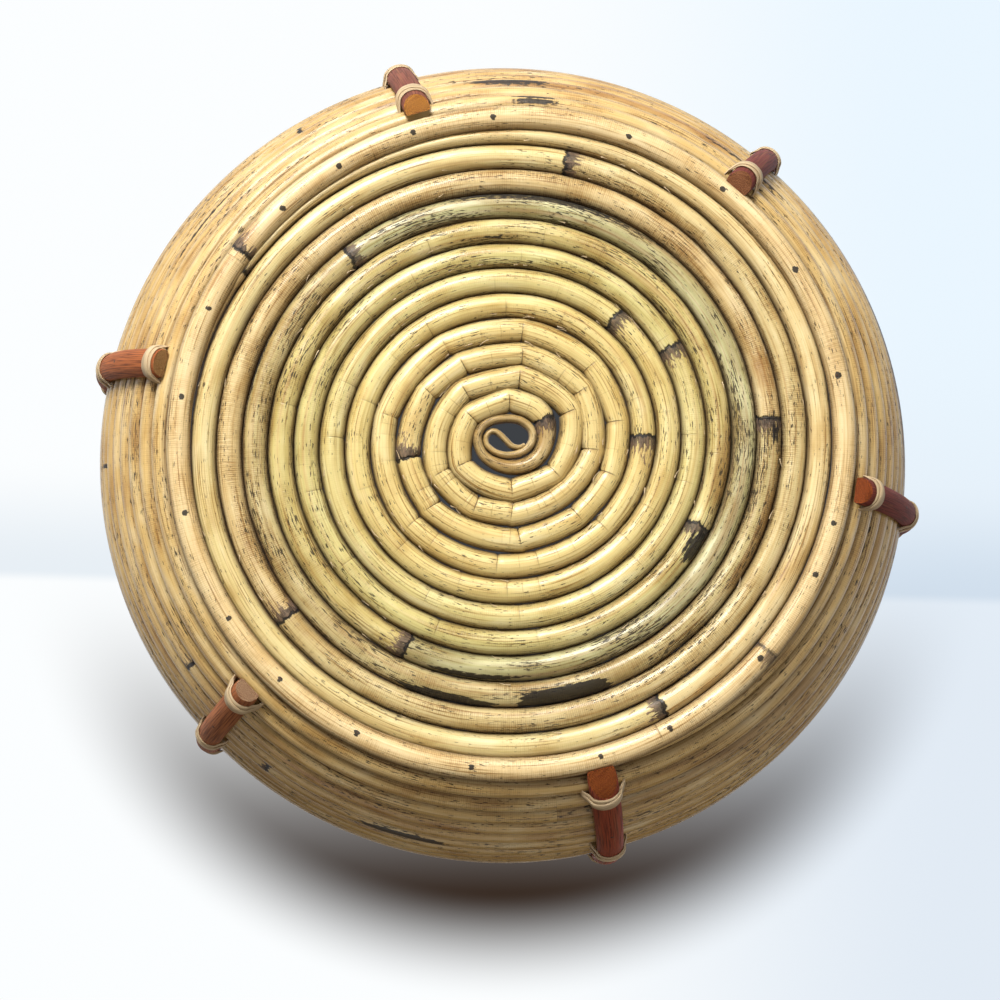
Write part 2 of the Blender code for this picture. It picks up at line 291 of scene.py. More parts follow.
    def distance(self, x: Value, y: Value) -> Value:
        """How far a place lies from the origin: the root of x x + y y."""
        return self.maths("SQRT", x * x + y * y)

    def show(self, share: Value, surface: Value) -> bpy.types.Material:
        """Lets a surface show in part, and makes the rest of it clear.

        Args:
            share: how much of the surface shows.
            surface: the surface.

        Returns:
            The material.
        """
        clear = self.value("ShaderNodeBsdfTransparent")
        mixed = self.value("ShaderNodeMixShader", None, {0: share, 1: clear, 2: surface})
        self.tree.links.new(mixed.socket, self.tree.nodes["Material Output"].inputs["Surface"])
        return self.material

    def bump(self, height: Value, distance: float, strength: float = 1.0) -> None:
        """Feeds the surface's Normal from a height.

        Args:
            height: the height, around 0 to 1.
            distance: how high 1 is, in metres.
            strength: how much of it shows.
        """
        normal = self.value("ShaderNodeBump", None,
                            {"Height": height, "Distance": distance, "Strength": strength}, "Normal")
        self.feed(self.surface.inputs["Normal"], normal)

    def finish(self, **sockets: Value | float | tuple) -> bpy.types.Material:
        """Feeds the surface's sockets.

        Args:
            sockets: the values or links of its sockets, whose names have _ for a space.

        Returns:
            The material.
        """
        for key, value in sockets.items():
            self.feed(self.surface.inputs[key.replace("_", " ")], value)
        return self.material


# ---- finishes


@dataclass(frozen=True)
class CaneFinish:
    """Lacquered whole cane, whose tone and marks come from the piece's attributes."""

    name: str = "lacquered_cane"
    sheath: tuple = (0.042, 0.026, 0.022)
    burnt: tuple = (0.008, 0.006, 0.006)
    fleck: tuple = (0.040, 0.027, 0.011)
    green: tuple = (0.80, 0.92, 0.70)
    # painted shade, with some dirt, in the grooves where one cane meets the next
    groove_shade_and_dirt_colour: tuple = (0.10, 0.055, 0.022)
    end_grain: tuple = (0.40, 0.25, 0.11)
    old_sheath: tuple = (0.20, 0.125, 0.080)
    ribbing: float = 8600.0
    pores: float = 2600.0
    roughness: float = 0.36
    coat: float = 0.42
    # grains in a metre along and round the cane, and finer layers, of each noise
    noises: tuple = ((26, 1500, 3), (9, 620, 3), (42, 130, 3), (34, 190, 3), (290, 1900, 2),
                     (620, 1000, 2), (1500, 60, 2), (420, 1100, 3), (60, 330, 2))

    def wood(self, cane: "CaneShader") -> tuple[Value, Value, Value]:
        """Colours the bare cane: fibres along it, fine cracks across it, bruises, and painted groove
        shade with some dirt at its sides.

        Args:
            cane: the cane's shader.

        Returns:
            The colour, the cracks and the sides, where the groove shade is painted.
        """
        fibre, streak, mottle, patch = cane.fibre, cane.streak, cane.mottle, cane.patch
        colour = cane.stain(cane.tone, ((fibre - 0.5) * 2.2 + 0.28, (0.82, 0.72, 0.52)),
                            (streak.step(0.52, 0.70) * 0.50, (0.68, 0.54, 0.36)),
                            (mottle.step(0.50, 0.70) * 0.45, (0.88, 0.72, 0.48)))
        colour = cane.mix(mottle.step(0.48, 0.30) * 0.25, colour, (0.98, 0.90, 0.62))
        stripes = fibre.step(0.54, 0.66) * patch.step(0.36, 0.54)
        ribbing = cane.maths("SINE", cane.run * self.ribbing + cane.across * 11.0).step(-0.2, 0.9)
        broken = patch.step(0.40, 0.56) * 0.6 + mottle.step(0.44, 0.58) * 0.4
        lines = ribbing * (broken + 0.15) * (cane.cracks * 0.85 + 0.06)
        bruise = (cane.brown + (mottle - 0.5) * 0.8 + (streak - 0.5) * 0.5).step(0.30, 0.75)
        # the sides where one cane meets the next are darkened: painted groove shade with some dirt
        side = (abs(cane.around) + (fibre - 0.5) * 0.0012).step(0.0026, 0.0068)
        colour = cane.stain(colour, (cane.green * streak.step(0.75, 0.35), self.green),
                            (stripes * 0.80, (0.42, 0.30, 0.16)),
                            (lines * 0.62, (0.50, 0.36, 0.19)),
                            (bruise * 0.70, (0.52, 0.32, 0.14)), (side * cane.groove_shade_and_dirt, self.groove_shade_and_dirt_colour))
        return colour, lines, side

    def wear(self, cane: "CaneShader", colour: Value) -> tuple[Value, Value, Value]:
        """Adds long thin flecks, dull patches, dots, and creases across the cane at its kinks, with
        painted shade beside them.

        Args:
            cane: the cane's shader.
            colour: the colour so far.

        Returns:
            The colour, the flecks and the creases.
        """
        flecks, crease = cane.flecks, cane.crease
        crowd = cane.patch.step(0.40, 0.66) * (flecks * 0.14 + 0.03) + flecks * 0.05
        specks = (cane.speck + crowd + abs(cane.around) * 7.0).step(0.70, 0.75)
        specks = specks * flecks.step(0.0, 0.2)
        colour = cane.mix(specks * 0.92, colour, self.fleck)
        dull = (cane.mottle + flecks * 0.30).step(0.62, 0.90)
        colour = cane.stain(colour, (dull * 0.55, (0.60, 0.54, 0.42)))
        colour = cane.mix(cane.dot.step(0.73, 0.76) * 0.65, colour, self.fleck)
        inner = cane.around.step(-0.0034, 0.0010) * cane.fold
        crossing = abs(crease).step(0.34, 0.08) * cane.ragged.step(0.28, 0.46) * inner
        colour = cane.mix(crossing * 0.85, colour, self.fleck)
        # painted shade on the inner side of the cane just before each crease
        shade = crease.step(-2.4, 0.0) * crease.step(0.15, 0.0) * inner * 0.55
        return cane.stain(colour, (shade, (0.58, 0.42, 0.24))), specks, crossing

    def joints(self, cane: "CaneShader", colour: Value) -> tuple[Value, Value, Value, Value]:
        """Adds the joints' dark lines, with torn sheath on one side, and soot.

        Args:
            cane: the cane's shader.
            colour: the colour so far.

        Returns:
            The colour, the sheath, the lines and the soot.
        """
        scar, scarred = cane.scar, cane.scarred
        torn, ragged, streak = cane.torn - 0.5, cane.ragged - 0.5, cane.streak - 0.5
        reach = scar + scarred * 5.4 + torn * 7.0 + ragged * 17.0
        outer_side, near = cane.around.step(0.0010, -0.0040), scar.step(-6.5, -0.4)
        worn = torn * 3.2 + streak * 2.0 + near * 1.1
        sheath = (reach + outer_side * 5.0).step(0.0, 0.7) * scar.step(0.4, 0.0)
        sheath = sheath * scar.step(-18.0, -16.0) * scarred.step(0.2, 0.5) * worn.step(0.0, 0.55)
        age = torn * 3.0 + ragged * 2.5 + 0.55 - near * 0.5
        colour = cane.mix(sheath * 0.93, colour, cane.mix(age, self.sheath, self.old_sheath))
        line = abs(scar - torn * 2.2 - ragged * 4.0).step(0.95, 0.45) * scarred.step(0.2, 0.6)
        char = (cane.soot + streak * 1.1 + torn * 0.6).step(0.46, 0.58)
        for share in (line * 0.97, char * 0.95):
            colour = cane.mix(share, colour, self.burnt)
        return colour, sheath, line, char

    def material(self) -> bpy.types.Material:
        """Builds the material: bare wood, then wear, then joints and soot, and porous cut ends.

        Returns:
            The material.
        """
        cane = CaneShader(self.name, self.noises)
        colour, lines, side = self.wood(cane)
        colour, specks, crossing = self.wear(cane, colour)
        colour, sheath, line, char = self.joints(cane, colour)
        pores = cane.noise(cane.run * self.pores, cane.around * self.pores, 10.0, 1.0)
        grain = cane.mix(pores.step(0.50, 0.62), self.end_grain, self.sheath)
        colour = cane.mix(cane.cut, colour, grain)
        rough = self.roughness + specks * 0.25 + sheath * 0.25 + lines * 0.12 + cane.cut * 0.4
        height = cane.fibre * 0.30 + cane.streak * 0.25 - lines * 0.45 - crossing * 0.8
        cane.bump(height + sheath * cane.torn * 1.2 - line * 0.8 - specks * 0.3, 0.00024)
        bare = (1.0 - side) * (1.0 - char) * (1.0 - sheath * 0.7)
        return cane.finish(Base_Color=colour, Roughness=rough + side * 0.4 + char * 0.1,
                           Coat_Weight=bare * self.coat, Coat_Roughness=0.17)


class CaneShader(Shader):
    """A material's nodes with the numbers that a cane's finish is made of."""

    def __init__(self, name: str, noises: tuple) -> None:
        """Reads the cane's map and attributes, and makes its noises.

        Args:
            name: the material's name.
            noises: the rows of the noises, as grains takes them.
        """
        super().__init__(name)
        self.run, self.around = self.cane()
        self.tone, self.soot = (self.attribute("tone", out) for out in ("Color", "Alpha"))
        self.green, self.flecks, self.cracks = self.parts(self.attribute("marks", "Vector"))
        self.scarred = self.attribute("marks", "Alpha")
        self.scar, self.crease, self.cut, self.fold, self.brown, self.groove_shade_and_dirt = (
            self.attribute(key) for key in ("scar", "crease", "cut", "fold", "brown", "groove_shade_and_dirt"))
        (self.fibre, self.streak, self.mottle, self.patch, self.speck, self.dot, self.across,
         self.torn, self.ragged) = self.grains(noises)


@dataclass(frozen=True)
class RibFinish:
    """Stained split cane with a porous end."""

    name: str = "stained_rib"
    dark: tuple = (0.045, 0.012, 0.009)
    pale: tuple = (0.34, 0.15, 0.075)
    pore: tuple = (0.075, 0.024, 0.010)
    noises: tuple = ((55, 1900, 3), (18, 620, 3), (120, 900, 3))

    def material(self) -> bpy.types.Material:
        """Builds the material: streaks along the rib, and round pores on its cut end.

        Returns:
            The material.
        """
        shader = Shader(self.name)
        fibre, streak, scuff = shader.grains(self.noises)
        tone, grain = (shader.attribute(key, "Color") for key in ("tone", "grain"))
        cut = shader.attribute("cut")
        colour = shader.mix(fibre.step(0.40, 0.66) * 0.75, tone, self.dark)
        colour = shader.mix(streak.step(0.54, 0.70) * 0.35, colour, self.pale)
        colour = shader.mix(scuff.step(0.62, 0.72) * 0.35, colour, self.pale)
        cell = shader.value("ShaderNodeTexVoronoi", {"voronoi_dimensions": "2D"},
                            {"Vector": shader.vector(*shader.cane()), "Scale": 2500.0,
                             "Randomness": 0.75}, "Distance")
        face = shader.stain(grain, (scuff.step(0.40, 0.70) * 0.6, (0.55, 0.42, 0.36)))
        face = shader.mix(cell.step(0.44, 0.22) * 0.9, face, self.pore)
        colour = shader.mix(cut, colour, face)
        height = fibre * 0.7 + streak * 0.3
        shader.bump(height * (1.0 - cut) + cell.step(0.25, 0.45) * cut, 0.00030)
        return shader.finish(Base_Color=colour, Roughness=0.58 + scuff * 0.12,
                             Specular_IOR_Level=0.15)


@dataclass(frozen=True)
class StrapFinish:
    """Thin peel of cane, greyish tan, with lines along it."""

    name: str = "cane_peel"
    colour: tuple = (0.56, 0.42, 0.25)
    line: tuple = (0.24, 0.16, 0.085)
    worn: tuple = (0.68, 0.53, 0.34)
    noises: tuple = ((70, 3400, 3), (160, 260, 2))

    def material(self) -> bpy.types.Material:
        """Builds the material: lines along the strip, and worn patches.

        Returns:
            The material.
        """
        shader = Shader(self.name)
        fibre, patch = shader.grains(self.noises)
        colour = shader.mix(patch.step(0.40, 0.66) * 0.5, self.colour, self.worn)
        colour = shader.mix(fibre.step(0.50, 0.68) * 0.60, colour, self.line)
        shader.bump(fibre, 0.00022)
        return shader.finish(Base_Color=colour, Roughness=0.50 + patch * 0.15)


@dataclass(frozen=True)
class SteelFinish:
    """Dark steel of the brads, with rust."""

    name: str = "dark_brad"
    steel: tuple = (0.035, 0.028, 0.026)
    rust: tuple = (0.12, 0.05, 0.025)
    patches: float = 1600.0

    def material(self) -> bpy.types.Material:
        """Builds the material: steel with patches of rust.

        Returns:
            The material.
        """
        shader = Shader(self.name)
        x, y, z = (axis * self.patches for axis in shader.place("Object"))
        rust = shader.noise(x, y, z).step(0.45, 0.65)
        return shader.finish(Base_Color=shader.mix(rust, self.steel, self.rust),
                             Roughness=0.45 + rust * 0.35, Metallic=0.8 - rust * 0.6)


# ---- surfaces


def outward(degrees: Array | float) -> Array:
    """The level direction away from the middle: (cos a, -sin a, 0)."""
    turn = np.radians(degrees)
    return np.stack([np.cos(turn), -np.sin(turn), np.zeros_like(turn)], -1)


def along(degrees: Array | float) -> Array:
    """The level direction in which the cane is wound: (-sin a, -cos a, 0)."""
    turn = np.radians(degrees)
    return np.stack([-np.sin(turn), -np.cos(turn), np.zeros_like(turn)], -1)


def unit(vectors: Array) -> Array:
    """Vectors of length 1 in the same directions."""
    return vectors / np.maximum(np.linalg.norm(vectors, axis=-1, keepdims=True), 1e-12)


def lengths(line: Array) -> Array:
    """How far along a line each of its points lies."""
    return np.concatenate([[0.0], np.cumsum(np.linalg.norm(np.diff(line, axis=0), axis=1))])


def resample(columns: Array, reach: Array, step: float) -> tuple[Array, Array]:
    """Takes rows at even distances out of a table of closely spaced ones.

    Args:
        columns: the table, one row for each place.
        reach: how far along each row lies.
        step: about how far apart the new rows lie.

    Returns:
        The new rows, and how far along each lies.
    """
    count = max(int(reach[-1] / step), 2) + 1
    places = np.linspace(0.0, reach[-1], count)
    return np.stack([np.interp(places, reach, column) for column in columns.T], -1), places


def curve(points: Array, steps: int) -> Array:
    """A smooth line through points: between two of them it is a Catmull-Rom cubic.

    Args:
        points: the points, one a row, of any number of columns.
        steps: how many rows each stretch gets.

    Returns:
        The rows of the smooth line, the last point among them.
    """
    padded = np.concatenate([[2 * points[0] - points[1]], points, [2 * points[-1] - points[-2]]])
    before, start, end, after = padded[:-3], padded[1:-2], padded[2:-1], padded[3:]
    t = np.linspace(0.0, 1.0, steps, endpoint=False)[None, :, None]
    before, start, end, after = (knot[:, None, :] for knot in (before, start, end, after))
    rows = 0.5 * (2 * start + (end - before) * t
                  + (2 * before - 5 * start + 4 * end - after) * t ** 2
                  + (3 * start - before - 3 * end + after) * t ** 3)
    return np.concatenate([rows.reshape(-1, points.shape[1]), points[-1:]])


def nearest(places: Array, marks: Array) -> tuple[Array, Array]:
    """The signed distance from each place to the nearest mark, and that mark's number.

    Args:
        places: distances along a cane.
        marks: the marks' distances along it, rising.

    Returns:
        The distances, above zero past the mark, and the marks' numbers.
    """
    edges = (marks[1:] + marks[:-1]) / 2
    number = np.searchsorted(edges, places)
    return places - marks[number], number


def girth(columns: int, half_width: float) -> Array:
    """How far round a cane the edges of its columns lie, 0 being its front."""
    return (np.arange(columns + 1) / columns - 0.5) * 2 * np.pi * half_width


def oval(columns: int) -> Array:
    """A round section as (across, front) pairs, from its back round its front and home again."""
    turn = -np.pi / 2 + 2 * np.pi * np.arange(columns) / columns
    return np.stack([np.cos(turn), np.sin(turn)], -1)


def sweep(line: Array, front: Array, section: Array) -> Array:
    """Carries a section along a line.

    Each point is line + across * a + front * b, where a and b are the section's pair, front is
    squared up to the line, and across is at right angles to both.

    Args:
        line: the line's points, (rows, 3).
        front: the way that the section's front looks, for all the rows or for each.
        section: the pairs, in metres, (rows, columns, 2).

    Returns:
        The surface's points, (rows, columns, 3).
    """
    course = unit(np.gradient(line, axis=0))
    across = unit(np.cross(course, front))
    front = np.cross(across, course)
    return line[:, None] + across[:, None] * section[..., :1] + front[:, None] * section[..., 1:]


def placed(name: str, data: bpy.types.ID) -> bpy.types.Object:
    """Makes an object of a mesh, lamp or camera and puts it in the scene, at the origin.

    Args:
        name: the object's name.
        data: the mesh, lamp or camera.

    Returns:
        The object.
    """
    made = bpy.data.objects.new(name, data)
    bpy.context.scene.collection.objects.link(made)
    return made


def plate(name: str, points: Array) -> bpy.types.Object:
    """Makes a flat plate of one face.

    Args:
        name: the object's name.
        points: the face's corners, in order.

    Returns:
        The object.
    """
    mesh = bpy.data.meshes.new(name)
    mesh.from_pydata(points.tolist(), [], [tuple(range(len(points)))])
    return placed(name, mesh)


@dataclass
class Skin:
    """A closed grid surface with its UV map and attributes, ready to be made a mesh."""

    grid: Array
    run: Array
    around: Array
    colours: dict = field(default_factory=dict)
    numbers: dict = field(default_factory=dict)
    ring: bool = False
    sharp: float = 55.0

    def arrays(self) -> dict:
        """Works out the mesh as whole arrays.

        Quads join each row to the next. An open skin's ends are closed by a fan of triangles round
        a point in their middle. The faces are turned round if the volume comes out below zero.

        Returns:
            Points, faces' corners, corners' UVs, their cut marks, and each point's grid number.
        """
        rows, columns = self.grid.shape[:2]
        points = self.grid.reshape(-1, 3)
        number = np.arange(rows * columns).reshape(rows, columns)
        right = np.roll(number, -1, axis=1)
        if self.ring:
            low, low_r = number, right
            high, high_r = (np.roll(side, -1, axis=0) for side in (number, right))
        else:
            low, high, low_r, high_r = number[:-1], number[1:], right[:-1], right[1:]
        quads = np.stack([low, low_r, high_r, high], -1).reshape(-1, 4)
        flat = np.stack(np.broadcast_arrays(self.run[:, None], self.around[None]), -1)
        if self.ring:
            extra = flat[:1].copy()
            extra[..., 0] = flat[-1, :, 0] + (flat[1, :, 0] - flat[0, :, 0])
            flat = np.concatenate([flat, extra])
        uv = np.stack([flat[:-1, :-1], flat[:-1, 1:], flat[1:, 1:], flat[1:, :-1]], 2).reshape(-1, 2)
        cut, source = np.zeros(quads.size), np.arange(rows * columns)
        fans = np.zeros((0, 3), dtype=int)
        if not self.ring:
            ends = np.arange(2) + len(points)
            points = np.concatenate([points, [self.grid[0].mean(0), self.grid[-1].mean(0)]])
            source = np.concatenate([source, [number[0, 0], number[-1, 0]]])
            first, last = (np.full(columns, end) for end in ends)
            fans = np.concatenate([np.stack([first, right[0], number[0]], -1),
                                   np.stack([last, number[-1], right[-1]], -1)])
            uv = np.concatenate([uv, self.face_uv(points, fans)])
            cut = np.concatenate([cut, np.ones(fans.size)])
        one, two, three, four = (points[quads] - points.mean(0)).transpose(1, 0, 2)
        volume = ((np.cross(two - one, three - one) + np.cross(three - one, four - one)) * one).sum()
        corners = np.concatenate([quads.ravel(), fans.ravel()])
        if volume < 0:
            turned = [np.arange(quads.size).reshape(-1, 4),
                      quads.size + np.arange(fans.size).reshape(-1, 3)]
            order = np.concatenate([faces[:, ::-1].ravel() for faces in turned])
            corners, uv, cut = corners[order], uv[order], cut[order]
        return {"points": points, "corners": corners, "sizes": [4] * len(quads) + [3] * len(fans),
                "uv": uv, "cut": cut, "source": source}

    @staticmethod
    def face_uv(points: Array, fans: Array) -> Array:
        """The UVs of the end faces: each point's place on the face, in metres.

        Args:
            points: the surface's points.
            fans: the end faces' triangles.

        Returns:
            One pair for each corner.
        """
        half = len(fans) // 2
        pairs = []
        for fan in (fans[:half], fans[half:]):
            middle = points[fan[0, 0]]
            spokes = points[fan] - middle
            first = unit(spokes[0, 1])
            across = unit(np.cross(np.cross(first, spokes[len(fan) // 4, 1]), first))
            pairs.append(np.stack([spokes @ first, spokes @ across], -1).reshape(-1, 2))
        return np.concatenate(pairs)

    def join(self, name: str, *others: "Skin") -> bpy.types.Object:
        """Makes one mesh object of this skin and others.

        Args:
            name: the object's name.
            others: further skins with the same attributes.

        Returns:
            The object, at the origin.
        """
        skins = (self, *others)
        made = [skin.arrays() for skin in skins]
        uv, cut, sizes, points = (np.concatenate([part[key] for part in made])
                                  for key in ("uv", "cut", "sizes", "points"))
        starts = np.cumsum([0] + [len(part["points"]) for part in made])
        corners = np.concatenate([part["corners"] + start for part, start in zip(made, starts)])
        mesh = bpy.data.meshes.new(name)
        for group, count in ((mesh.vertices, points), (mesh.loops, corners), (mesh.polygons, sizes)):
            group.add(len(count))
        mesh.vertices.foreach_set("co", points.astype(np.float32).ravel())
        mesh.loops.foreach_set("vertex_index", corners.astype(np.int32))
        mesh.polygons.foreach_set("loop_start", (np.cumsum(sizes) - sizes).astype(np.int32))
        mesh.update(calc_edges=True)
        mesh.uv_layers.new(name="cane").data.foreach_set("uv", uv.astype(np.float32).ravel())
        layers = [("cut", "FLOAT", "CORNER", "value", cut)]
        for key in self.numbers:
            rows = [np.broadcast_to(skin.numbers[key], skin.grid.shape[:2]).ravel()[part["source"]]
                    for skin, part in zip(skins, made)]
            layers.append((key, "FLOAT", "POINT", "value", np.concatenate(rows)))
        for key in self.colours:
            rows = [np.broadcast_to(skin.colours[key], (*skin.grid.shape[:2], 4))
                    .reshape(-1, 4)[part["source"]] for skin, part in zip(skins, made)]
            layers.append((key, "FLOAT_COLOR", "POINT", "color", np.concatenate(rows)))
        for key, kind, domain, target, values in layers:
            layer = mesh.attributes.new(key, kind, domain)
            layer.data.foreach_set(target, values.astype(np.float32).ravel())
        mesh.validate()
        mesh.shade_smooth()
        mesh.set_sharp_from_angle(angle=math.radians(self.sharp))
        return placed(name, mesh)


@dataclass
class Workshop:
    """Holds the finishes and hands every piece to the frame."""

    cane: bpy.types.Material = field(default_factory=CaneFinish().material)
    rib: bpy.types.Material = field(default_factory=RibFinish().material)
    strap: bpy.types.Material = field(default_factory=StrapFinish().material)
    steel: bpy.types.Material = field(default_factory=SteelFinish().material)

    def hand_over(self, piece: bpy.types.Object, slot: Slot, *nodes: str) -> None:
        """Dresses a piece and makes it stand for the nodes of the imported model.

        Args:
            piece: the piece.
            slot: its material slot.
            nodes: the nodes that it stands for, none for a detail of its own.
        """
        materials = {Slot.RIB: self.rib, Slot.STRAP: self.strap, Slot.STEEL: self.steel}
        piece.data.materials.append(materials.get(slot, self.cane))
        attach(piece, BODY)
        if nodes:
            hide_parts(*nodes)
        LOG.info("%s: %d faces for %s", piece.name, len(piece.data.polygons), ", ".join(nodes) or "-")


@dataclass(frozen=True)
class Plan:
    """The basket's driving sizes, in metres and degrees, and its wall's shape."""

    pitch: float = 0.0095
    half_width: float = 0.00477
    ring_radius: float = 0.12292
    foot_height: float = 0.0040
    floor_height: float = 0.0076
    wall_radius: float = 0.1290
    wall_height: float = 0.0108
    wall_slope: float = 50.0
    wall_bend: float = 0.155
    step_start: float = 269.15
    step_span: float = 82.25
    wall_turns: int = 13
    # how far a rib's sole stands off the middle of the wall's cane
    rib_sole: float = 0.0049
    rib_thickness: float = 0.0057
    rib_shoulder: float = 0.28
    rib_angles: tuple = (284.4, 351.4, 408.5, 466.0, 527.8, 583.4)
    # how wide each rib is against the widest
    rib_breadths: tuple = (0.95, 0.88, 0.86, 0.91, 0.95, 0.87)
    # how far the outline stands off a circle, and its long axis, at the foot and at the belly
    foot_round: tuple = (0.00125, 18.5)
    belly_round: tuple = (0.0011, -7.0)
    belly_run: float = 0.07

    def bulge(self, degrees: Array, run: Array = 0.0) -> Array:
        """How far the basket's outline stands off a circle: a cosine twice round it.

        Args:
            degrees: the angles.
            run: how far up the wall; the foot's cosine fades into the belly's on the way.

        Returns:
            The distances.
        """
        share = np.clip(np.asarray(run) / self.belly_run, 0.0, 1.0)
        (foot, first), (belly, second) = self.foot_round, self.belly_round
        return (foot * np.cos(2 * np.radians(degrees - first)) * (1 - share)
                + belly * np.cos(2 * np.radians(degrees - second)) * share)

    def wall_point(self, run: Array, degrees: Array, lift: Array = 0.0, aside: Array = 0.0) -> Array:
        """A point of the wall, whose section is an arc that starts at the wall's slope.

        Args:
            run: how far up the section it lies.
            degrees: its angle.
            lift: how far it stands off the wall's middle, outwards.
            aside: how far it lies to the side.

        Returns:
            The point or points.
        """
        low, slope = math.radians(self.wall_slope), self.slope(run)
        under = np.minimum(run, 0.0)
        radius = self.wall_radius + self.wall_bend * (np.sin(slope) - math.sin(low))
        height = self.wall_height + self.wall_bend * (math.cos(low) - np.cos(slope))
        radius = radius + under * np.cos(slope) + lift * np.sin(slope) + self.bulge(degrees, run)
        height = height + under * np.sin(slope) - lift * np.cos(slope)
        return (outward(degrees) * np.asarray(radius)[..., None] + UP * np.asarray(height)[..., None]
                + along(degrees) * np.asarray(aside)[..., None])

    def slope(self, run: Array) -> Array:
        """The wall's slope, in radians, after a run up from its foot."""
        return math.radians(self.wall_slope) + np.maximum(run, 0.0) / self.wall_bend

    def wall_front(self, run: Array, degrees: Array) -> Array:
        """The direction straight out of the wall."""
        slope = self.slope(run)
        return outward(degrees) * np.sin(slope)[..., None] - UP * np.cos(slope)[..., None]

    def wall_level(self, degrees: Array) -> Array:
        """How many pitches up the wall the cane lies: it climbs one over the same span each turn.

        Args:
            degrees: the angles, counted on through the turns.

        Returns:
            The levels.
        """
        turn = (degrees - self.step_start) / 360
        whole = np.floor(turn)
        return whole - 1 + np.minimum(1.0, (turn - whole) * 360 / self.step_span)


@dataclass
class CaneMarks:
    """What shows along one cane: its tones, joints, creases and stains."""

    tones: tuple
    joints: tuple = ()
    creases: Array | None = None
    folds: Array | None = None
    soot: tuple = ()
    brown: tuple = ()
    # how strongly the cane's sides get the painted groove shade and dirt
    groove_shade_and_dirt: float = 0.92

    def dress(self, degrees: Array, run: Array, columns: int) -> tuple[dict, dict]:
        """Works out the attributes of a cane's skin.

        Args:
            degrees: the angle of each row, counted on through the turns.
            run: how far along the cane each row lies.
            columns: how many points go round the cane.

        Returns:
            The colours and the numbers.
        """
        starts = np.array([row[0] for row in self.tones])
        number = np.clip(np.searchsorted(starts, degrees, side="right") - 1, 0, len(starts) - 1)
        table = np.array([row[1:] for row in self.tones])
        values = table[number]
        tone, marks = np.zeros((2, len(run), columns, 4))
        tone[..., :3] = values[:, None, :3]
        tone[..., 3] = self.stain(self.soot, degrees, columns)
        marks[..., :3] = values[:, None, 3:6]
        scar, crease = np.full((2, len(run)), FAR)
        fold = np.zeros(len(run))
        if self.joints:
            distance, which = nearest(run, np.interp([row[0] for row in self.joints], degrees, run))
            scar = distance * 1000.0
            marks[..., 3] = np.array([row[1] for row in self.joints])[which][:, None]
        if self.creases is not None:
            distance, which = nearest(run, np.interp(self.creases, degrees, run))
            crease, fold = distance * 1000.0, self.folds[which]
        numbers = {"scar": scar[:, None], "crease": crease[:, None], "fold": fold[:, None],
                   "brown": self.stain(self.brown, degrees, columns), "groove_shade_and_dirt": self.groove_shade_and_dirt}
        return {"tone": tone, "marks": marks}, numbers

    @staticmethod
    def stain(stains: tuple, degrees: Array, columns: int) -> Array:
        """How strongly a cane is stained: a bell along it times a bell round it, for each stain.

        Args:
            stains: the first and last angle, strength, side and half spread of each.
            degrees: the angle of each row.
            columns: how many points go round the cane.

        Returns:
            The strength at each point.
        """
        turn = -90.0 + 360.0 * np.arange(columns) / columns
        total = np.zeros((len(degrees), columns))
        for first, last, strength, side, spread in stains:
            middle, half = (first + last) / 2, (last - first) / 2
            bell = (np.abs(degrees - middle) / half, np.abs(turn - side) / spread)
            long_way, cross = (np.clip(1.30 - share, 0.0, 1.0) for share in bell)
            total = np.maximum(total, strength * long_way[:, None] * cross[None])
        return total

    def swell(self, degrees: Array, run: Array) -> Array:
        """How much a cane swells at its joints: 5% over 3.5 mm, less a 5% groove of 1 mm.

        Args:
            degrees: the angle of each row.
            run: how far along the cane each row lies.

        Returns:
            A factor on the cane's width at each row.
        """
        if not self.joints:
            return np.ones(len(run))
        distance, _ = nearest(run, np.interp([row[0] for row in self.joints], degrees, run))
        return (1 + 0.05 * np.exp(-(distance / 0.0035) ** 2)
                - 0.05 * np.exp(-(distance / 0.0010) ** 2))


# ---- the basket's parts


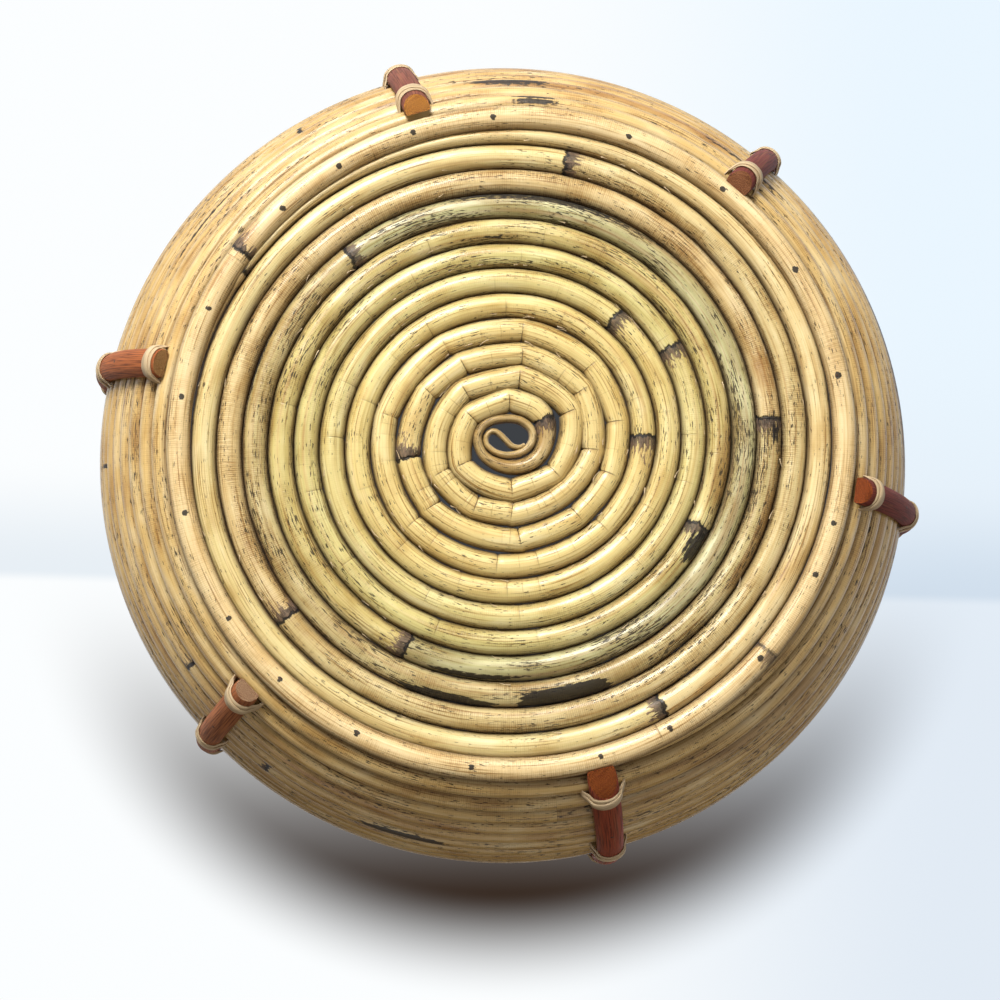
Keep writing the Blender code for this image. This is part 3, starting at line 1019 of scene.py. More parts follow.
@dataclass
class FloorCoil:
    """The floor: one cane wound flat from a thin S-shaped curl to its pared outer end."""

    plan: Plan
    workshop: Workshop
    start_radius: float = 0.0119
    offset: float = 0.00228
    offset_angle: float = 195.0
    first_angle: float = 48.0
    last_angle: float = 4134.0
    outer_edge: float = 0.1194
    step: float = 0.0015
    columns: int = 20
    seed: int = 5
    # x, y, width and depth of the curl's cane, in millimetres, from its tip outwards
    curl: tuple = (
        (4.4, -1.9, 1.7, 4.4), (1.9, -3.0, 2.2, 5.0), (-0.9, -2.1, 2.5, 5.4), (-3.1, 0.2, 2.6, 5.6),
        (-5.7, 2.6, 2.5, 5.6), (-7.8, 3.3, 2.5, 5.6), (-9.9, 1.6, 2.6, 5.8), (-10.2, -1.0, 2.6, 6.0),
        (-9.4, -2.6, 2.7, 6.2), (-6.6, -4.8, 2.8, 6.4), (-2.2, -5.9, 3.0, 6.6), (2.8, -5.0, 3.2, 6.8),
        (6.3, -2.3, 3.3, 7.0), (7.5, 1.1, 3.4, 7.2), (6.3, 4.6, 3.4, 7.4), (2.2, 7.4, 3.4, 7.6),
        (-3.1, 7.9, 3.4, 7.8), (-8.5, 6.8, 3.5, 8.0), (-12.0, 4.2, 3.6, 8.2), (-13.3, -0.1, 3.8, 8.4),
        (-11.3, -5.6, 4.2, 8.6), (-6.6, -9.0, 5.0, 8.8), (-0.9, -10.4, 5.8, 9.0),
        (5.2, -9.4, 6.2, 9.0), (10.0, -5.6, 6.6, 9.0), (12.4, 0.9, 7.2, 9.0), (11.6, 7.6, 8.6, 9.0))
    # how far the first turns stray from the even spiral, in millimetres, by angle
    stray: tuple = ((48, 2.6), (90, 1.7), (150, 0.7), (180, 0.3), (270, -0.1), (330, 0.7), (360, 1.6),
                    (394, 2.5), (450, 0.8), (540, -0.2), (630, -0.7), (720, 0.2), (754, 0.9),
                    (810, 0.3), (900, 0.0), (990, -0.4), (1080, 0.0), (5000, 0.0))
    kinks: tuple = (31, 87, 146, 208, 275, 326, 385, 439, 490, 566, 604, 633, 714, 754, 800, 840, 868,
                    910, 941, 997, 1033, 1062, 1090, 1122, 1162, 1203, 1248, 1301, 1345, 1398, 1442)
    wide_kink: float = 0.42
    last_crease: float = 2700.0
    thinnest: float = 0.0006
    # by angle: how kinked the turns are, how dark their creases are, half the cane's depth, and how
    # much of it is left where its end is pared
    fades: tuple = ((31, 0.85), (385, 0.6), (600, 0.4), (1100, 0.3), (1442, 0.0))
    folds: tuple = ((31, 1.0), (1000, 0.9), (1442, 0.5))
    depths: tuple = ((31, 0.0045), (200, 0.0046))
    pared: tuple = ((4109, 1.0), (4111, 0.72), (4134, 0.15))
    joints: tuple = ((31, 1.0), (910, 1.0), (1442, 1.3), (1849, 1.2), (2190, 1.2), (2496, 1.4),
                     (2764, 1.4), (3010.5, 1.0), (3245, 1.2), (3459, 1.0), (3678, 0.9), (3900, 1.0),
                     (4107.5, 0.8))
    # black and brown stains: first and last angle, strength, side (0 outer, 180 inner) and spread
    soot: tuple = ((3153, 3172, 2.6, 48.0, 52.0), (3122, 3150, 1.0, 40.0, 44.0),
                   (2930, 3005, 0.70, 35.0, 36.0), (3020, 3060, 0.60, 30.0, 34.0),
                   (2764, 2800, 0.62, 40.0, 36.0), (3238, 3245, 0.62, 60.0, 40.0),
                   (2484, 2497, 0.9, 60.0, 50.0), (2560, 2640, 0.46, 130.0, 30.0))
    brown: tuple = ((2496, 2530, 0.9, 60.0, 60.0), (3247, 3262, 0.6, 90.0, 90.0),
                    (3190, 3243, 0.8, 40.0, 50.0), (3050, 3140, 0.6, 10.0, 50.0),
                    (3262, 3330, 0.5, 30.0, 50.0), (1442, 1475, 0.5, 90.0, 90.0))
    # from this angle on: red, green, blue; then greenness, flecks and cracks
    tones: tuple = ((START, 0.60, 0.44, 0.20, 0.0, 0.9, 0.3), (31, 0.77, 0.61, 0.28, 0.1, 0.4, 0.1),
                    (910, 0.79, 0.62, 0.28, 0.2, 0.3, 0.1), (1442, 0.78, 0.62, 0.28, 0.3, 0.4, 0.2),
                    (1849, 0.76, 0.62, 0.30, 0.5, 0.3, 0.3), (2190, 0.73, 0.60, 0.29, 0.6, 0.6, 0.3),
                    (2496, 0.70, 0.55, 0.25, 0.5, 0.7, 0.4), (2764, 0.63, 0.54, 0.34, 0.8, 0.9, 0.3),
                    (3010, 0.64, 0.50, 0.26, 0.4, 0.8, 0.9), (3245, 0.70, 0.53, 0.27, 0.1, 0.5, 1.0),
                    (3459, 0.71, 0.56, 0.29, 0.2, 0.5, 0.8), (3678, 0.77, 0.62, 0.32, 0.3, 0.3, 0.2),
                    (3900, 0.78, 0.62, 0.33, 0.1, 0.3, 0.2), (4107, 0.66, 0.50, 0.26, 0.0, 0.3, 0.3))

    def centre(self) -> Array:
        """The spiral's middle, which lies off the ring's."""
        return outward(self.offset_angle) * self.offset

    def polygon(self, degrees: Array) -> Array:
        """How much a kinked turn departs from a round one.

        Between two kinks the cane is a chord, whose radius is cos(h) / cos(x) of the round one's, h
        being half the angle between the kinks and x the angle from their middle. It is divided by
        its mean, and fades from the inner turns outwards.

        Args:
            degrees: the angles.

        Returns:
            The factors on the radius.
        """
        marks = np.array(self.kinks, float)
        number = np.clip(np.searchsorted(marks, degrees) - 1, 0, len(marks) - 2)
        half = np.radians(marks[number + 1] - marks[number]) / 2
        middle = (marks[number + 1] + marks[number]) / 2
        chord = np.cos(half) / np.cos(np.radians(degrees - middle).clip(-half, half))
        mean = np.cos(half) * np.log(np.tan(np.pi / 4 + half / 2)) / half
        fade = np.interp(degrees, *zip(*self.fades)) * np.minimum(1.0, (self.wide_kink / half) ** 2)
        inside = (degrees > marks[0]) & (degrees < marks[-1])
        return np.where(inside, 1 + (chord / mean - 1) * fade, 1.0)

    def table(self) -> tuple[Array, Array]:
        """The cane's places as a table: x, y, half width, half depth and angle.

        Returns:
            The table, closely spaced, and how far along each row lies.
        """
        degrees = np.arange(self.first_angle, self.last_angle, 0.25)
        stray = np.interp(degrees, *zip(*self.stray))
        bulge = self.plan.bulge(degrees)
        radius = self.start_radius + self.plan.pitch * degrees / 360 + stray * 0.001
        radius = radius * self.polygon(degrees) + bulge
        ray = outward(degrees)
        aside = ray @ self.centre()
        across = np.linalg.norm(self.centre() - ray * aside[:, None], axis=1)
        limit = np.sqrt(self.outer_edge ** 2 - across ** 2) - aside + bulge
        inner = radius - self.plan.half_width
        outer = np.minimum(radius + self.plan.half_width, limit)
        half = np.maximum((outer - inner) / 2, self.thinnest)
        past = np.interp(degrees, *zip(*self.pared))
        place = self.centre() + ray * (inner + half)[:, None]
        depth = np.interp(degrees, *zip(*self.depths)) * np.sqrt(past)
        rows = np.stack([place[:, 0], place[:, 1], half * past, depth, degrees], -1)
        curl = np.array(self.curl) * (0.001, -0.001, 0.0005, 0.0005)
        start = np.column_stack([curl, np.linspace(-600.0, self.kinks[0], len(curl))])
        smooth = curve(np.concatenate([start, rows[:1]]), 24)[:-1]
        rows = np.concatenate([smooth, rows])
        return rows, lengths(rows[:, :2])

    def build(self) -> None:
        """Makes the floor coil."""
        rows, run = resample(*self.table(), self.step)
        degrees = rows[:, 4]
        line = np.insert(rows[:, :2], 2, self.plan.floor_height, axis=1)
        generator = np.random.default_rng(self.seed)
        kinks = np.array(self.kinks, float)
        fine = np.cumsum(generator.uniform(12, 40, 120)) + 480
        fine = fine[(fine < self.last_crease) & (np.abs(fine[:, None] - kinks[None]).min(1) > 8)]
        creases = np.concatenate([kinks, fine])
        order = np.argsort(creases)
        folds = np.concatenate([np.interp(kinks, *zip(*self.folds)),
                                generator.uniform(0.15, 0.45, len(fine))])
        marks = CaneMarks(self.tones, self.joints, creases[order], folds[order], self.soot,
                          self.brown)
        colours, numbers = marks.dress(degrees, run, self.columns)
        swell = marks.swell(degrees, run)
        wave = 1 + 0.012 * np.sin(run * 210) + 0.008 * np.sin(run * 517 + 1.3)
        size = np.stack([rows[:, 2], rows[:, 3]], -1) * (swell * wave)[:, None]
        section = oval(self.columns)[None] * size[:, None]
        pinch = np.exp(-(numbers["crease"] / 0.9) ** 2) * numbers["fold"] * 0.15
        inner = np.clip(-oval(self.columns)[None, :, 0] + 0.3, 0, 1)
        section = section * (1 - pinch * inner)[..., None]
        around = girth(self.columns, self.plan.half_width)
        skin = Skin(sweep(line, -UP, section), run, around, colours, numbers)
        self.workshop.hand_over(skin.join("floor_cane"), Slot.STRAW, "floor_coil")


@dataclass
class FootRing:
    """The hoop that the basket stands on, and the brads in it."""

    plan: Plan
    workshop: Workshop
    half_width: float = 0.0045
    half_depth: float = 0.0040
    joint_angle: float = 147.0
    gap: float = 0.02
    wave: float = 0.00015
    rows: int = 900
    columns: int = 28
    inset_share: float = 0.15
    sink: float = 0.0003
    # its tone and marks, in the same columns as the floor coil's; creases are angle and strength
    tones: tuple = ((START, 0.80, 0.62, 0.34, 0.0, 0.25, 0.60),)
    joints: tuple = ((320.0, 0.40), (505.5, 0.55))
    creases: tuple = ((296.0, 0.6), (476.0, 0.6))
    brown: tuple = ((140, 160, 0.5, 60.0, 60.0), (496, 507, 0.6, 60.0, 60.0))
    # how strongly the ring's sides get the painted groove shade and dirt
    groove_shade_and_dirt: float = 0.70
    brad_angles: tuple = (11, 31, 50, 69, 93.5, 108, 122.5, 135, 157, 173, 193, 212.5, 226, 242,
                          262.5, 285, 298, 318, 335.5, 345)
    brad_radius: float = 0.0008

    def build(self) -> None:
        """Makes the ring and its brads."""
        degrees = self.joint_angle + np.linspace(self.gap, 360 - self.gap, self.rows)
        wave = self.wave * np.sin(5 * np.radians(degrees) + 1)
        radius = self.plan.ring_radius + self.plan.bulge(degrees) + wave
        line = outward(degrees) * radius[:, None] + UP * self.plan.foot_height
        run = lengths(line)
        creases, folds = np.array(self.creases).T
        marks = CaneMarks(self.tones, self.joints, creases, folds, (), self.brown, self.groove_shade_and_dirt)
        colours, numbers = marks.dress(degrees, run, self.columns)
        size = np.array([self.half_width, self.half_depth])
        thinning = 1 - 0.02 * (1 + np.sin(run * 160)) / 2
        section = oval(self.columns)[None] * (size[None] * thinning[:, None])[:, None]
        grid = sweep(line, -UP, section)
        # round each brad head the ring's underside is darkened through the soot channel: the painted
        # shade of a pit
        for angle in self.brad_angles:
            spot = self.brad_spot(angle)
            reach = np.linalg.norm(grid[..., :2] - spot[:2], axis=-1)
            low = grid[..., 2] < self.plan.foot_height
            painted_pit_shade = np.clip(1 - reach / (self.brad_radius * 2.6), 0, 1) * low
            colours["tone"][..., 3] = np.maximum(colours["tone"][..., 3], painted_pit_shade * 1.2)
        skin = Skin(grid, run, girth(self.columns, self.half_width), colours, numbers)
        self.workshop.hand_over(skin.join("foot_hoop"), Slot.PINK, "foot_ring")
        for number, angle in enumerate(self.brad_angles, 1):
            head = brad(self.brad_spot(angle), -UP, self.brad_radius).join(f"foot_nail_{number}")
            self.workshop.hand_over(head, Slot.STEEL, f"foot_brad_{number}")

    def brad_spot(self, angle: float) -> Array:
        """Where a brad's head lies on the underside of the ring.

        Args:
            angle: the brad's angle.

        Returns:
            The middle of its head.
        """
        depth = self.half_depth * math.sqrt(1 - self.inset_share ** 2) - self.sink
        radius = self.plan.ring_radius + self.plan.bulge(angle) - self.inset_share * self.half_width
        return outward(angle) * radius + UP * (self.plan.foot_height - depth)


def brad(spot: Array, out: Array, radius: float) -> Skin:
    """A brad: a thin shank under a low round head, which is a profile turned about its axis.

    Args:
        spot: the middle of the head's face.
        out: the way that the head looks.
        radius: the head's radius.

    Returns:
        Its skin.
    """
    profile = np.array([(0.45, -6.0), (0.5, -1.2), (0.55, -0.5), (1.0, -0.35), (1.0, -0.1),
                        (0.85, 0.12), (0.55, 0.22), (0.15, 0.22)])
    out = unit(out)
    side = unit(np.cross(out, np.array([0.3, 0.9, 0.1])))
    other = np.cross(out, side)
    turn = 2 * np.pi * np.arange(12) / 12
    spokes = side[None] * np.cos(turn)[:, None] + other[None] * np.sin(turn)[:, None]
    rows = spot + (out * profile[:, 1:, None] + spokes[None] * profile[:, :1, None]) * radius
    return Skin(rows, profile[:, 1] * radius, np.arange(13) / 12 * radius)


@dataclass
class Wall:
    """The wall: a coil of six canes laid end to end, which climbs one pitch in each turn."""

    plan: Plan
    workshop: Workshop
    columns: int = 16
    step: float = 0.0028
    joint_turns: tuple = ((2, 7.6), (3, 7.6), (3, 57.1), (5, 7.6), (9, 7.6))
    # tone, greenness, flecks and cracks of each cane
    looks: tuple = ((0.70, 0.50, 0.21, 0.0, 0.4, 0.5), (0.66, 0.46, 0.18, 0.0, 0.5, 0.4),
                    (0.50, 0.34, 0.14, 0.0, 0.5, 0.4), (0.65, 0.45, 0.18, 0.0, 0.5, 0.4),
                    (0.62, 0.42, 0.165, 0.1, 0.6, 0.3), (0.60, 0.40, 0.16, 0.1, 0.6, 0.3))
    # how strongly the canes' sides get the painted groove shade and dirt
    groove_shade_and_dirt: float = 0.72
    thinnest: float = 0.0004
    # how far the pared tips stop short of the steps' ends, in degrees
    tip: float = 3.0
    # black and brown stains of each cane: first and last angle, strength, side and spread
    soot: dict = field(default_factory=lambda: {
        1: ((275, 291, 1.2, 90.0, 90.0), (440, 452, 0.8, 110.0, 30.0)),
        2: ((1160, 1180, 0.8, 100.0, 40.0), (1112, 1150, 0.6, 110.0, 26.0)),
        4: ((1505, 1535, 0.6, 90.0, 24.0), (1560, 1600, 0.55, 120.0, 24.0)),
        5: ((2055, 2085, 0.7, 80.0, 30.0), (2405, 2423, 1.0, 90.0, 50.0),
            (2500, 2560, 0.6, 100.0, 24.0), (2870, 2905, 0.6, 60.0, 30.0)),
        6: ((3300, 3340, 0.6, 90.0, 30.0), (3900, 3950, 0.6, 90.0, 30.0))})
    brown: dict = field(default_factory=lambda: {
        1: ((386, 424, 1.1, 40.0, 60.0), (750, 785, 0.7, 60.0, 50.0)),
        2: ((1115, 1190, 0.8, 100.0, 50.0),),
        4: ((1500, 1540, 0.8, 80.0, 50.0), (1660, 1720, 0.6, 100.0, 60.0)),
        5: ((2225, 2290, 0.7, 100.0, 60.0), (2500, 2570, 0.8, 100.0, 60.0)),
        6: ((3300, 3420, 0.7, 90.0, 60.0), (3980, 4060, 0.8, 90.0, 60.0))})

    def ends(self) -> list[tuple[float, float]]:
        """Where the canes begin and end.

        Returns:
            The first and last angle of each cane, counted on through the turns.
        """
        start = self.plan.step_start
        cuts = [start + 360 * turn + past for turn, past in self.joint_turns]
        last = start + 360 * self.plan.wall_turns + self.plan.step_span
        return list(zip([start + self.tip, *cuts], [*cuts, last - self.tip]))

    def table(self, first: float, last: float) -> Array:
        """A cane's places: angle, run up the wall and half width.

        At the foot the cane is a wedge that grows under the step, and at the rim one that shrinks
        above it, so both edges stay level.

        Args:
            first: the first angle.
            last: the last angle.

        Returns:
            The table, one row for every half degree or so.
        """
        plan = self.plan
        degrees = np.linspace(first, last, int((last - first) * 2))
        foot = (degrees - plan.step_start) / plan.step_span
        rim = foot - 360 * plan.wall_turns / plan.step_span
        level = np.where(foot < 1, (foot - 1) / 2, plan.wall_level(degrees))
        level = np.where(rim > 0, plan.wall_turns - 1 + rim / 2, level)
        share = np.minimum(foot, 1 - rim).clip(self.thinnest / plan.half_width, 1.0)
        return np.stack([degrees, level * plan.pitch, share * plan.half_width], -1)

    def build(self) -> None:
        """Makes the six canes."""
        for number, ((first, last), look) in enumerate(zip(self.ends(), self.looks), 1):
            table = self.table(first, last)
            line = self.plan.wall_point(table[:, 1], table[:, 0])
            rows, run = resample(table, lengths(line), self.step)
            degrees, level, half = rows.T
            line = self.plan.wall_point(level, degrees)
            generator = np.random.default_rng(40 + number)
            joints = first + np.cumsum(generator.uniform(230, 380, 20))
            joints = joints[joints < last - 15]
            joints = tuple((angle, 0.6) for angle in joints) or ((first - 90.0, 0.0),)
            marks = CaneMarks(((START, *look),), joints, None, None, self.soot.get(number, ()),
                              self.brown.get(number, ()), self.groove_shade_and_dirt)
            colours, numbers = marks.dress(degrees, run, self.columns)
            width = half * marks.swell(degrees, run)
            depth = np.minimum(width * 1.15, self.plan.half_width)
            section = oval(self.columns)[None] * np.stack([width, depth], -1)[:, None]
            grid = sweep(line, self.plan.wall_front(level, degrees), section)
            around = girth(self.columns, self.plan.half_width)
            skin = Skin(grid, run + number, around, colours, numbers)
            slot = Slot.STRAW if number % 2 else Slot.PALE
            self.workshop.hand_over(skin.join(f"wall_turns_{number}"), slot, f"wall_cane_{number}")


@dataclass
class Ribs:
    """The six split canes up the outside of the wall, each with its brad."""

    plan: Plan
    workshop: Workshop
    width: float = 0.0116
    # where each rib's sole and crown begin up the wall, and how far its end is pressed in
    cuts: tuple = ((-0.0092, 0.0016, 0.0006), (-0.0078, -0.0042, 0.0), (-0.0084, -0.0044, 0.0022),
                   (-0.0052, 0.0005, 0.0), (-0.0024, -0.0026, 0.0), (-0.0012, 0.0008, 0.0))
    floor_gap: float = 0.0006
    rows: int = 90
    brad_turn: float = 3.3
    brad_radius: float = 0.00075
    # body tone and end grain of each rib
    looks: tuple = (((0.33, 0.070, 0.034), (0.44, 0.110, 0.022)),
                    ((0.20, 0.042, 0.030), (0.36, 0.080, 0.018)),
                    ((0.19, 0.050, 0.042), (0.28, 0.110, 0.045)),
                    ((0.23, 0.080, 0.056), (0.54, 0.220, 0.035)),
                    ((0.42, 0.130, 0.045), (0.46, 0.250, 0.090)),
                    ((0.42, 0.150, 0.060), (0.46, 0.280, 0.160)))

    def section(self) -> Array:
        """A rib's section: a flat sole with rounded edges and a round back.

        Returns:
            The section as (aside, lift) pairs off the sole.
        """
        half = self.width / 2
        shoulder = self.plan.rib_shoulder * self.plan.rib_thickness
        crown = self.plan.rib_thickness - shoulder
        turn = np.radians(np.linspace(-8, 188, 27))
        arc = np.stack([half * np.cos(turn), shoulder + crown * np.sin(turn)], -1)
        sole = np.array([(-0.94, 0.12), (-0.86, 0.03), (-0.6, 0.0), (-0.2, 0.0), (0.2, 0.0),
                         (0.6, 0.0), (0.86, 0.03), (0.94, 0.12)]) * (half, shoulder)
        return np.concatenate([arc, sole])

    def build(self) -> None:
        """Makes the ribs and their brads."""
        plan, section = self.plan, self.section()
        around = lengths(np.concatenate([section, section[:1]]))
        around = around - around[-1] / 2
        along_rib = np.linspace(0, 1, self.rows)[:, None]
        edge = 1 - 0.07 * (np.exp(-(along_rib * 150) ** 2) + np.exp(-((1 - along_rib) * 150) ** 2))
        middle = plan.rib_thickness * 0.45
        lift = plan.rib_sole + middle + (section[None, :, 1] - middle) * edge
        slope = math.radians(plan.wall_slope)
        clear = (self.floor_gap + lift * math.cos(slope) - plan.wall_height) / math.sin(slope)
        top, pin = (plan.wall_turns - 1) * plan.pitch, self.brad_turn * plan.pitch
        for number, (angle, breadth, (low, high, tuck), (tone, grain)) in enumerate(
                zip(plan.rib_angles, plan.rib_breadths, self.cuts, self.looks), 1):
            wave = 1 + 0.015 * np.sin(along_rib * 9 + number)
            aside = section[None, :, 0] * edge * wave * breadth
            start = np.maximum(low + (high - low) * section[None, :, 1] / plan.rib_thickness, clear)
            run = start + (top - start) * along_rib
            degrees = np.full(run.shape, angle)
            press = tuck * np.clip((0.0020 - run) / 0.0104, 0.0, 1.0) ** 2
            grid = plan.wall_point(run, degrees, lift, aside) - outward(degrees) * press[..., None]
            colours = {"tone": np.array([*tone, 1.0]), "grain": np.array([*grain, 1.0])}
            skin = Skin(grid, along_rib[:, 0] * 0.13 + number, around, colours)
            self.workshop.hand_over(skin.join(f"split_rib_{number}"), Slot.RIB, f"rib_{number}")
            spot = plan.wall_point(pin, angle, plan.rib_sole + plan.rib_thickness - 0.0001)
            head = brad(spot, plan.wall_front(pin, angle), self.brad_radius)
            head = head.join(f"rib_nail_{number}")
            self.workshop.hand_over(head, Slot.STEEL, f"rib_brad_{number}")


@dataclass
class Straps:
    """The thin strips that bind each rib at its foot, at the belly and at the rim."""

    plan: Plan
    workshop: Workshop
    width: float = 0.0033
    thickness: float = 0.0007
    rib_width: float = 0.0118
    turns: tuple = (("foot", 0), ("belly", 4), ("rim", 10))
    # how many pitches up the wall each foot strap's legs lie, and how far its crown leans up the rib
    foot_levels: tuple = ((0.30, 0.0006), (-0.02, 0.0004), (-0.20, 0.0006), (0.15, 0.0036),
                          (0.10, -0.0006), (0.40, 0.0016))
    # how far the foot straps' legs stand off each rib, and how many turns higher each belly strap is
    foot_spreads: tuple = (0.0024, 0.0012, 0.0014, 0.0010, 0.0013, 0.0020)
    belly_shifts: tuple = (1, 1, 0, 0, 1, 1)

    def loop(self, half_rib: float, spread: float, puff: float) -> Array:
        """A strip's middle line round a rib: out of one groove, over the rib and into the other,
        then back behind the cane inside the wall.

        Args:
            half_rib: half the rib's width.
            spread: how far each leg stands off the rib's side at the wall.
            puff: how far the strip stands off the rib.

        Returns:
            The (aside, lift) pairs of a smooth closed line.
        """
        plan, leg = self.plan, half_rib + spread
        shoulder = plan.rib_sole + plan.rib_shoulder * plan.rib_thickness
        crown = (1 - plan.rib_shoulder) * plan.rib_thickness + puff
        turn = np.radians((8, 35, 62, 90, 118, 145, 172))
        arc = np.stack([(half_rib + puff) * np.cos(turn), shoulder + crown * np.sin(turn)], -1)
        side = np.array([(leg * 0.90, -0.0040), (leg, 0.0), (leg, 0.0042)])
        knots = np.concatenate([side, arc, side[::-1] * (-1, 1), [(0.0, -0.0050)]])
        return curve(np.concatenate([knots, knots[:1]]), 8)

    def strip(self, number: int, level: float, lean: float, spread: float, puff: float,
              place: float, twist: float = 0.0) -> Skin:
        """One pass of a strip round a rib.

        Its section is a flat rounded bar, carried along the loop. The lean moves its middle up the
        rib by a bell of the angle round the rib, and the twist slants it from one leg to the other.

        Args:
            number: the rib's number.
            level: how many pitches up the wall its groove lies.
            lean: how far its middle leans up the rib, in metres.
            spread: how far its legs stand off the rib.
            puff: how far it stands off the rib.
            place: a number that shifts its pattern.
            twist: how much higher one leg is than the other, in pitches.

        Returns:
            Its skin.
        """
        angle = self.plan.rib_angles[number - 1]
        half_rib = self.rib_width / 2 * self.plan.rib_breadths[number - 1]
        pairs = self.loop(half_rib, spread, puff)[:-1]
        aside, lift = pairs.T
        up = np.clip((lift - 0.004) / (self.plan.rib_thickness + 0.001), 0, 1)
        side = aside / (half_rib + spread)
        run = level * self.plan.pitch + lean * up ** 0.8 + twist * self.plan.pitch * side / 2
        degrees = np.full(len(run), angle)
        line = self.plan.wall_point(run, degrees, lift, aside)
        closed = np.concatenate([line[-1:], line, line[:1]])
        course = unit(closed[2:] - closed[:-2])
        ahead = self.plan.wall_point(run + 0.001, degrees, lift, aside) - line
        across = unit(ahead - course * (ahead * course).sum(-1, keepdims=True))
        front = np.cross(across, course)
        bar = np.array([(-0.5, 0.0), (-0.42, 0.46), (0.0, 0.62), (0.42, 0.46), (0.5, 0.0),
                        (0.42, -0.46), (0.0, -0.5), (-0.42, -0.46)]) * (self.width, self.thickness)
        grid = line[:, None] + across[:, None] * bar[None, :, :1] + front[:, None] * bar[None, :, 1:]
        return Skin(grid, lengths(line) + place, np.arange(9) / 8 * self.width * 2, ring=True)

    def build(self) -> None:
        """Makes the straps of all the ribs."""
        for number, angle in enumerate(self.plan.rib_angles, 1):
            for name, turn in self.turns:
                level = float(self.plan.wall_level(angle + 360.0 * turn)) + 0.5
                level += angle < self.plan.step_start + self.plan.step_span
                level += self.belly_shifts[number - 1] * (name == "belly")
                skins = self.passes(name, number, level)
                piece = skins[0].join(f"{name}_binding_{number}", *skins[1:])
                self.workshop.hand_over(piece, Slot.STRAP, f"{name}_strap_{number}")

    def passes(self, name: str, number: int, level: float) -> list[Skin]:
        """The passes of one strap.

        At the foot they lie side by side with a third slanting over them, and elsewhere two meet in
        a point on the rib's crown.

        Args:
            name: which strap it is.
            number: the rib's number.
            level: how many pitches up the wall the lower pass lies.

        Returns:
            Their skins.
        """
        place = number + 10.0 * (name == "belly") + 20.0 * (name == "rim")
        if name == "foot":
            (low, lean), spread = self.foot_levels[number - 1], self.foot_spreads[number - 1]
            rows = ((low, lean, spread, 0.0003), (low + 0.13, lean + 0.0016, spread * 0.8, 0.0004),
                    (low + 0.06, lean + 0.0008, spread * 1.1, 0.0009, 0.20 * (-1) ** number))
        else:
            lean = self.plan.pitch / 2 - self.width * 0.34
            rows = ((level, lean, 0.0016, 0.0003), (level + 1, -lean, 0.0016, 0.0007))
        return [self.strip(number, *row[:4], place + 0.3 * count, *row[4:])
                for count, row in enumerate(rows)]


@dataclass
class Splinters:
    """Loose fibres and flecks of peel that stand in the grooves between the turns."""

    plan: Plan
    workshop: Workshop
    count: int = 150
    seed: int = 11
    depth: float = 0.0036
    reach: tuple = (0.0015, 0.0042)
    thickness: float = 0.00022

    def build(self) -> None:
        """Makes the splinters as one piece: tapering bars along lines that bend by a parabola."""
        generator = np.random.default_rng(self.seed)
        skins = []
        floor = FloorCoil(self.plan, self.workshop)
        for number in range(self.count):
            degrees = generator.uniform(250, 3900)
            radius = floor.start_radius + self.plan.pitch * (degrees / 360 + 0.5)
            foot = floor.centre() + outward(degrees) * radius
            foot = foot + UP * (self.plan.floor_height - self.depth)
            heading = along(degrees) * generator.choice([-1, 1])
            bend = outward(degrees) * generator.uniform(-0.7, 0.7)
            reach = generator.uniform(*self.reach)
            t = np.linspace(0, 1, 7)[:, None]
            rise = -UP * generator.uniform(0.1, 0.5)
            line = foot + reach * (heading * t + bend * t ** 2 * 0.6 + rise * t * (1 - t))
            thin = self.thickness * (1 - t * 0.8) * generator.uniform(0.6, 1.3)
            section = oval(5)[None] * thin[:, None] * np.array([1.0, 0.5])
            skins.append(Skin(sweep(line, -UP, section), t[:, 0] * reach + number,
                              np.arange(6) / 5 * 0.001))
        piece = skins[0].join("groove_splinters", *skins[1:])
        self.workshop.hand_over(piece, Slot.STRAP)


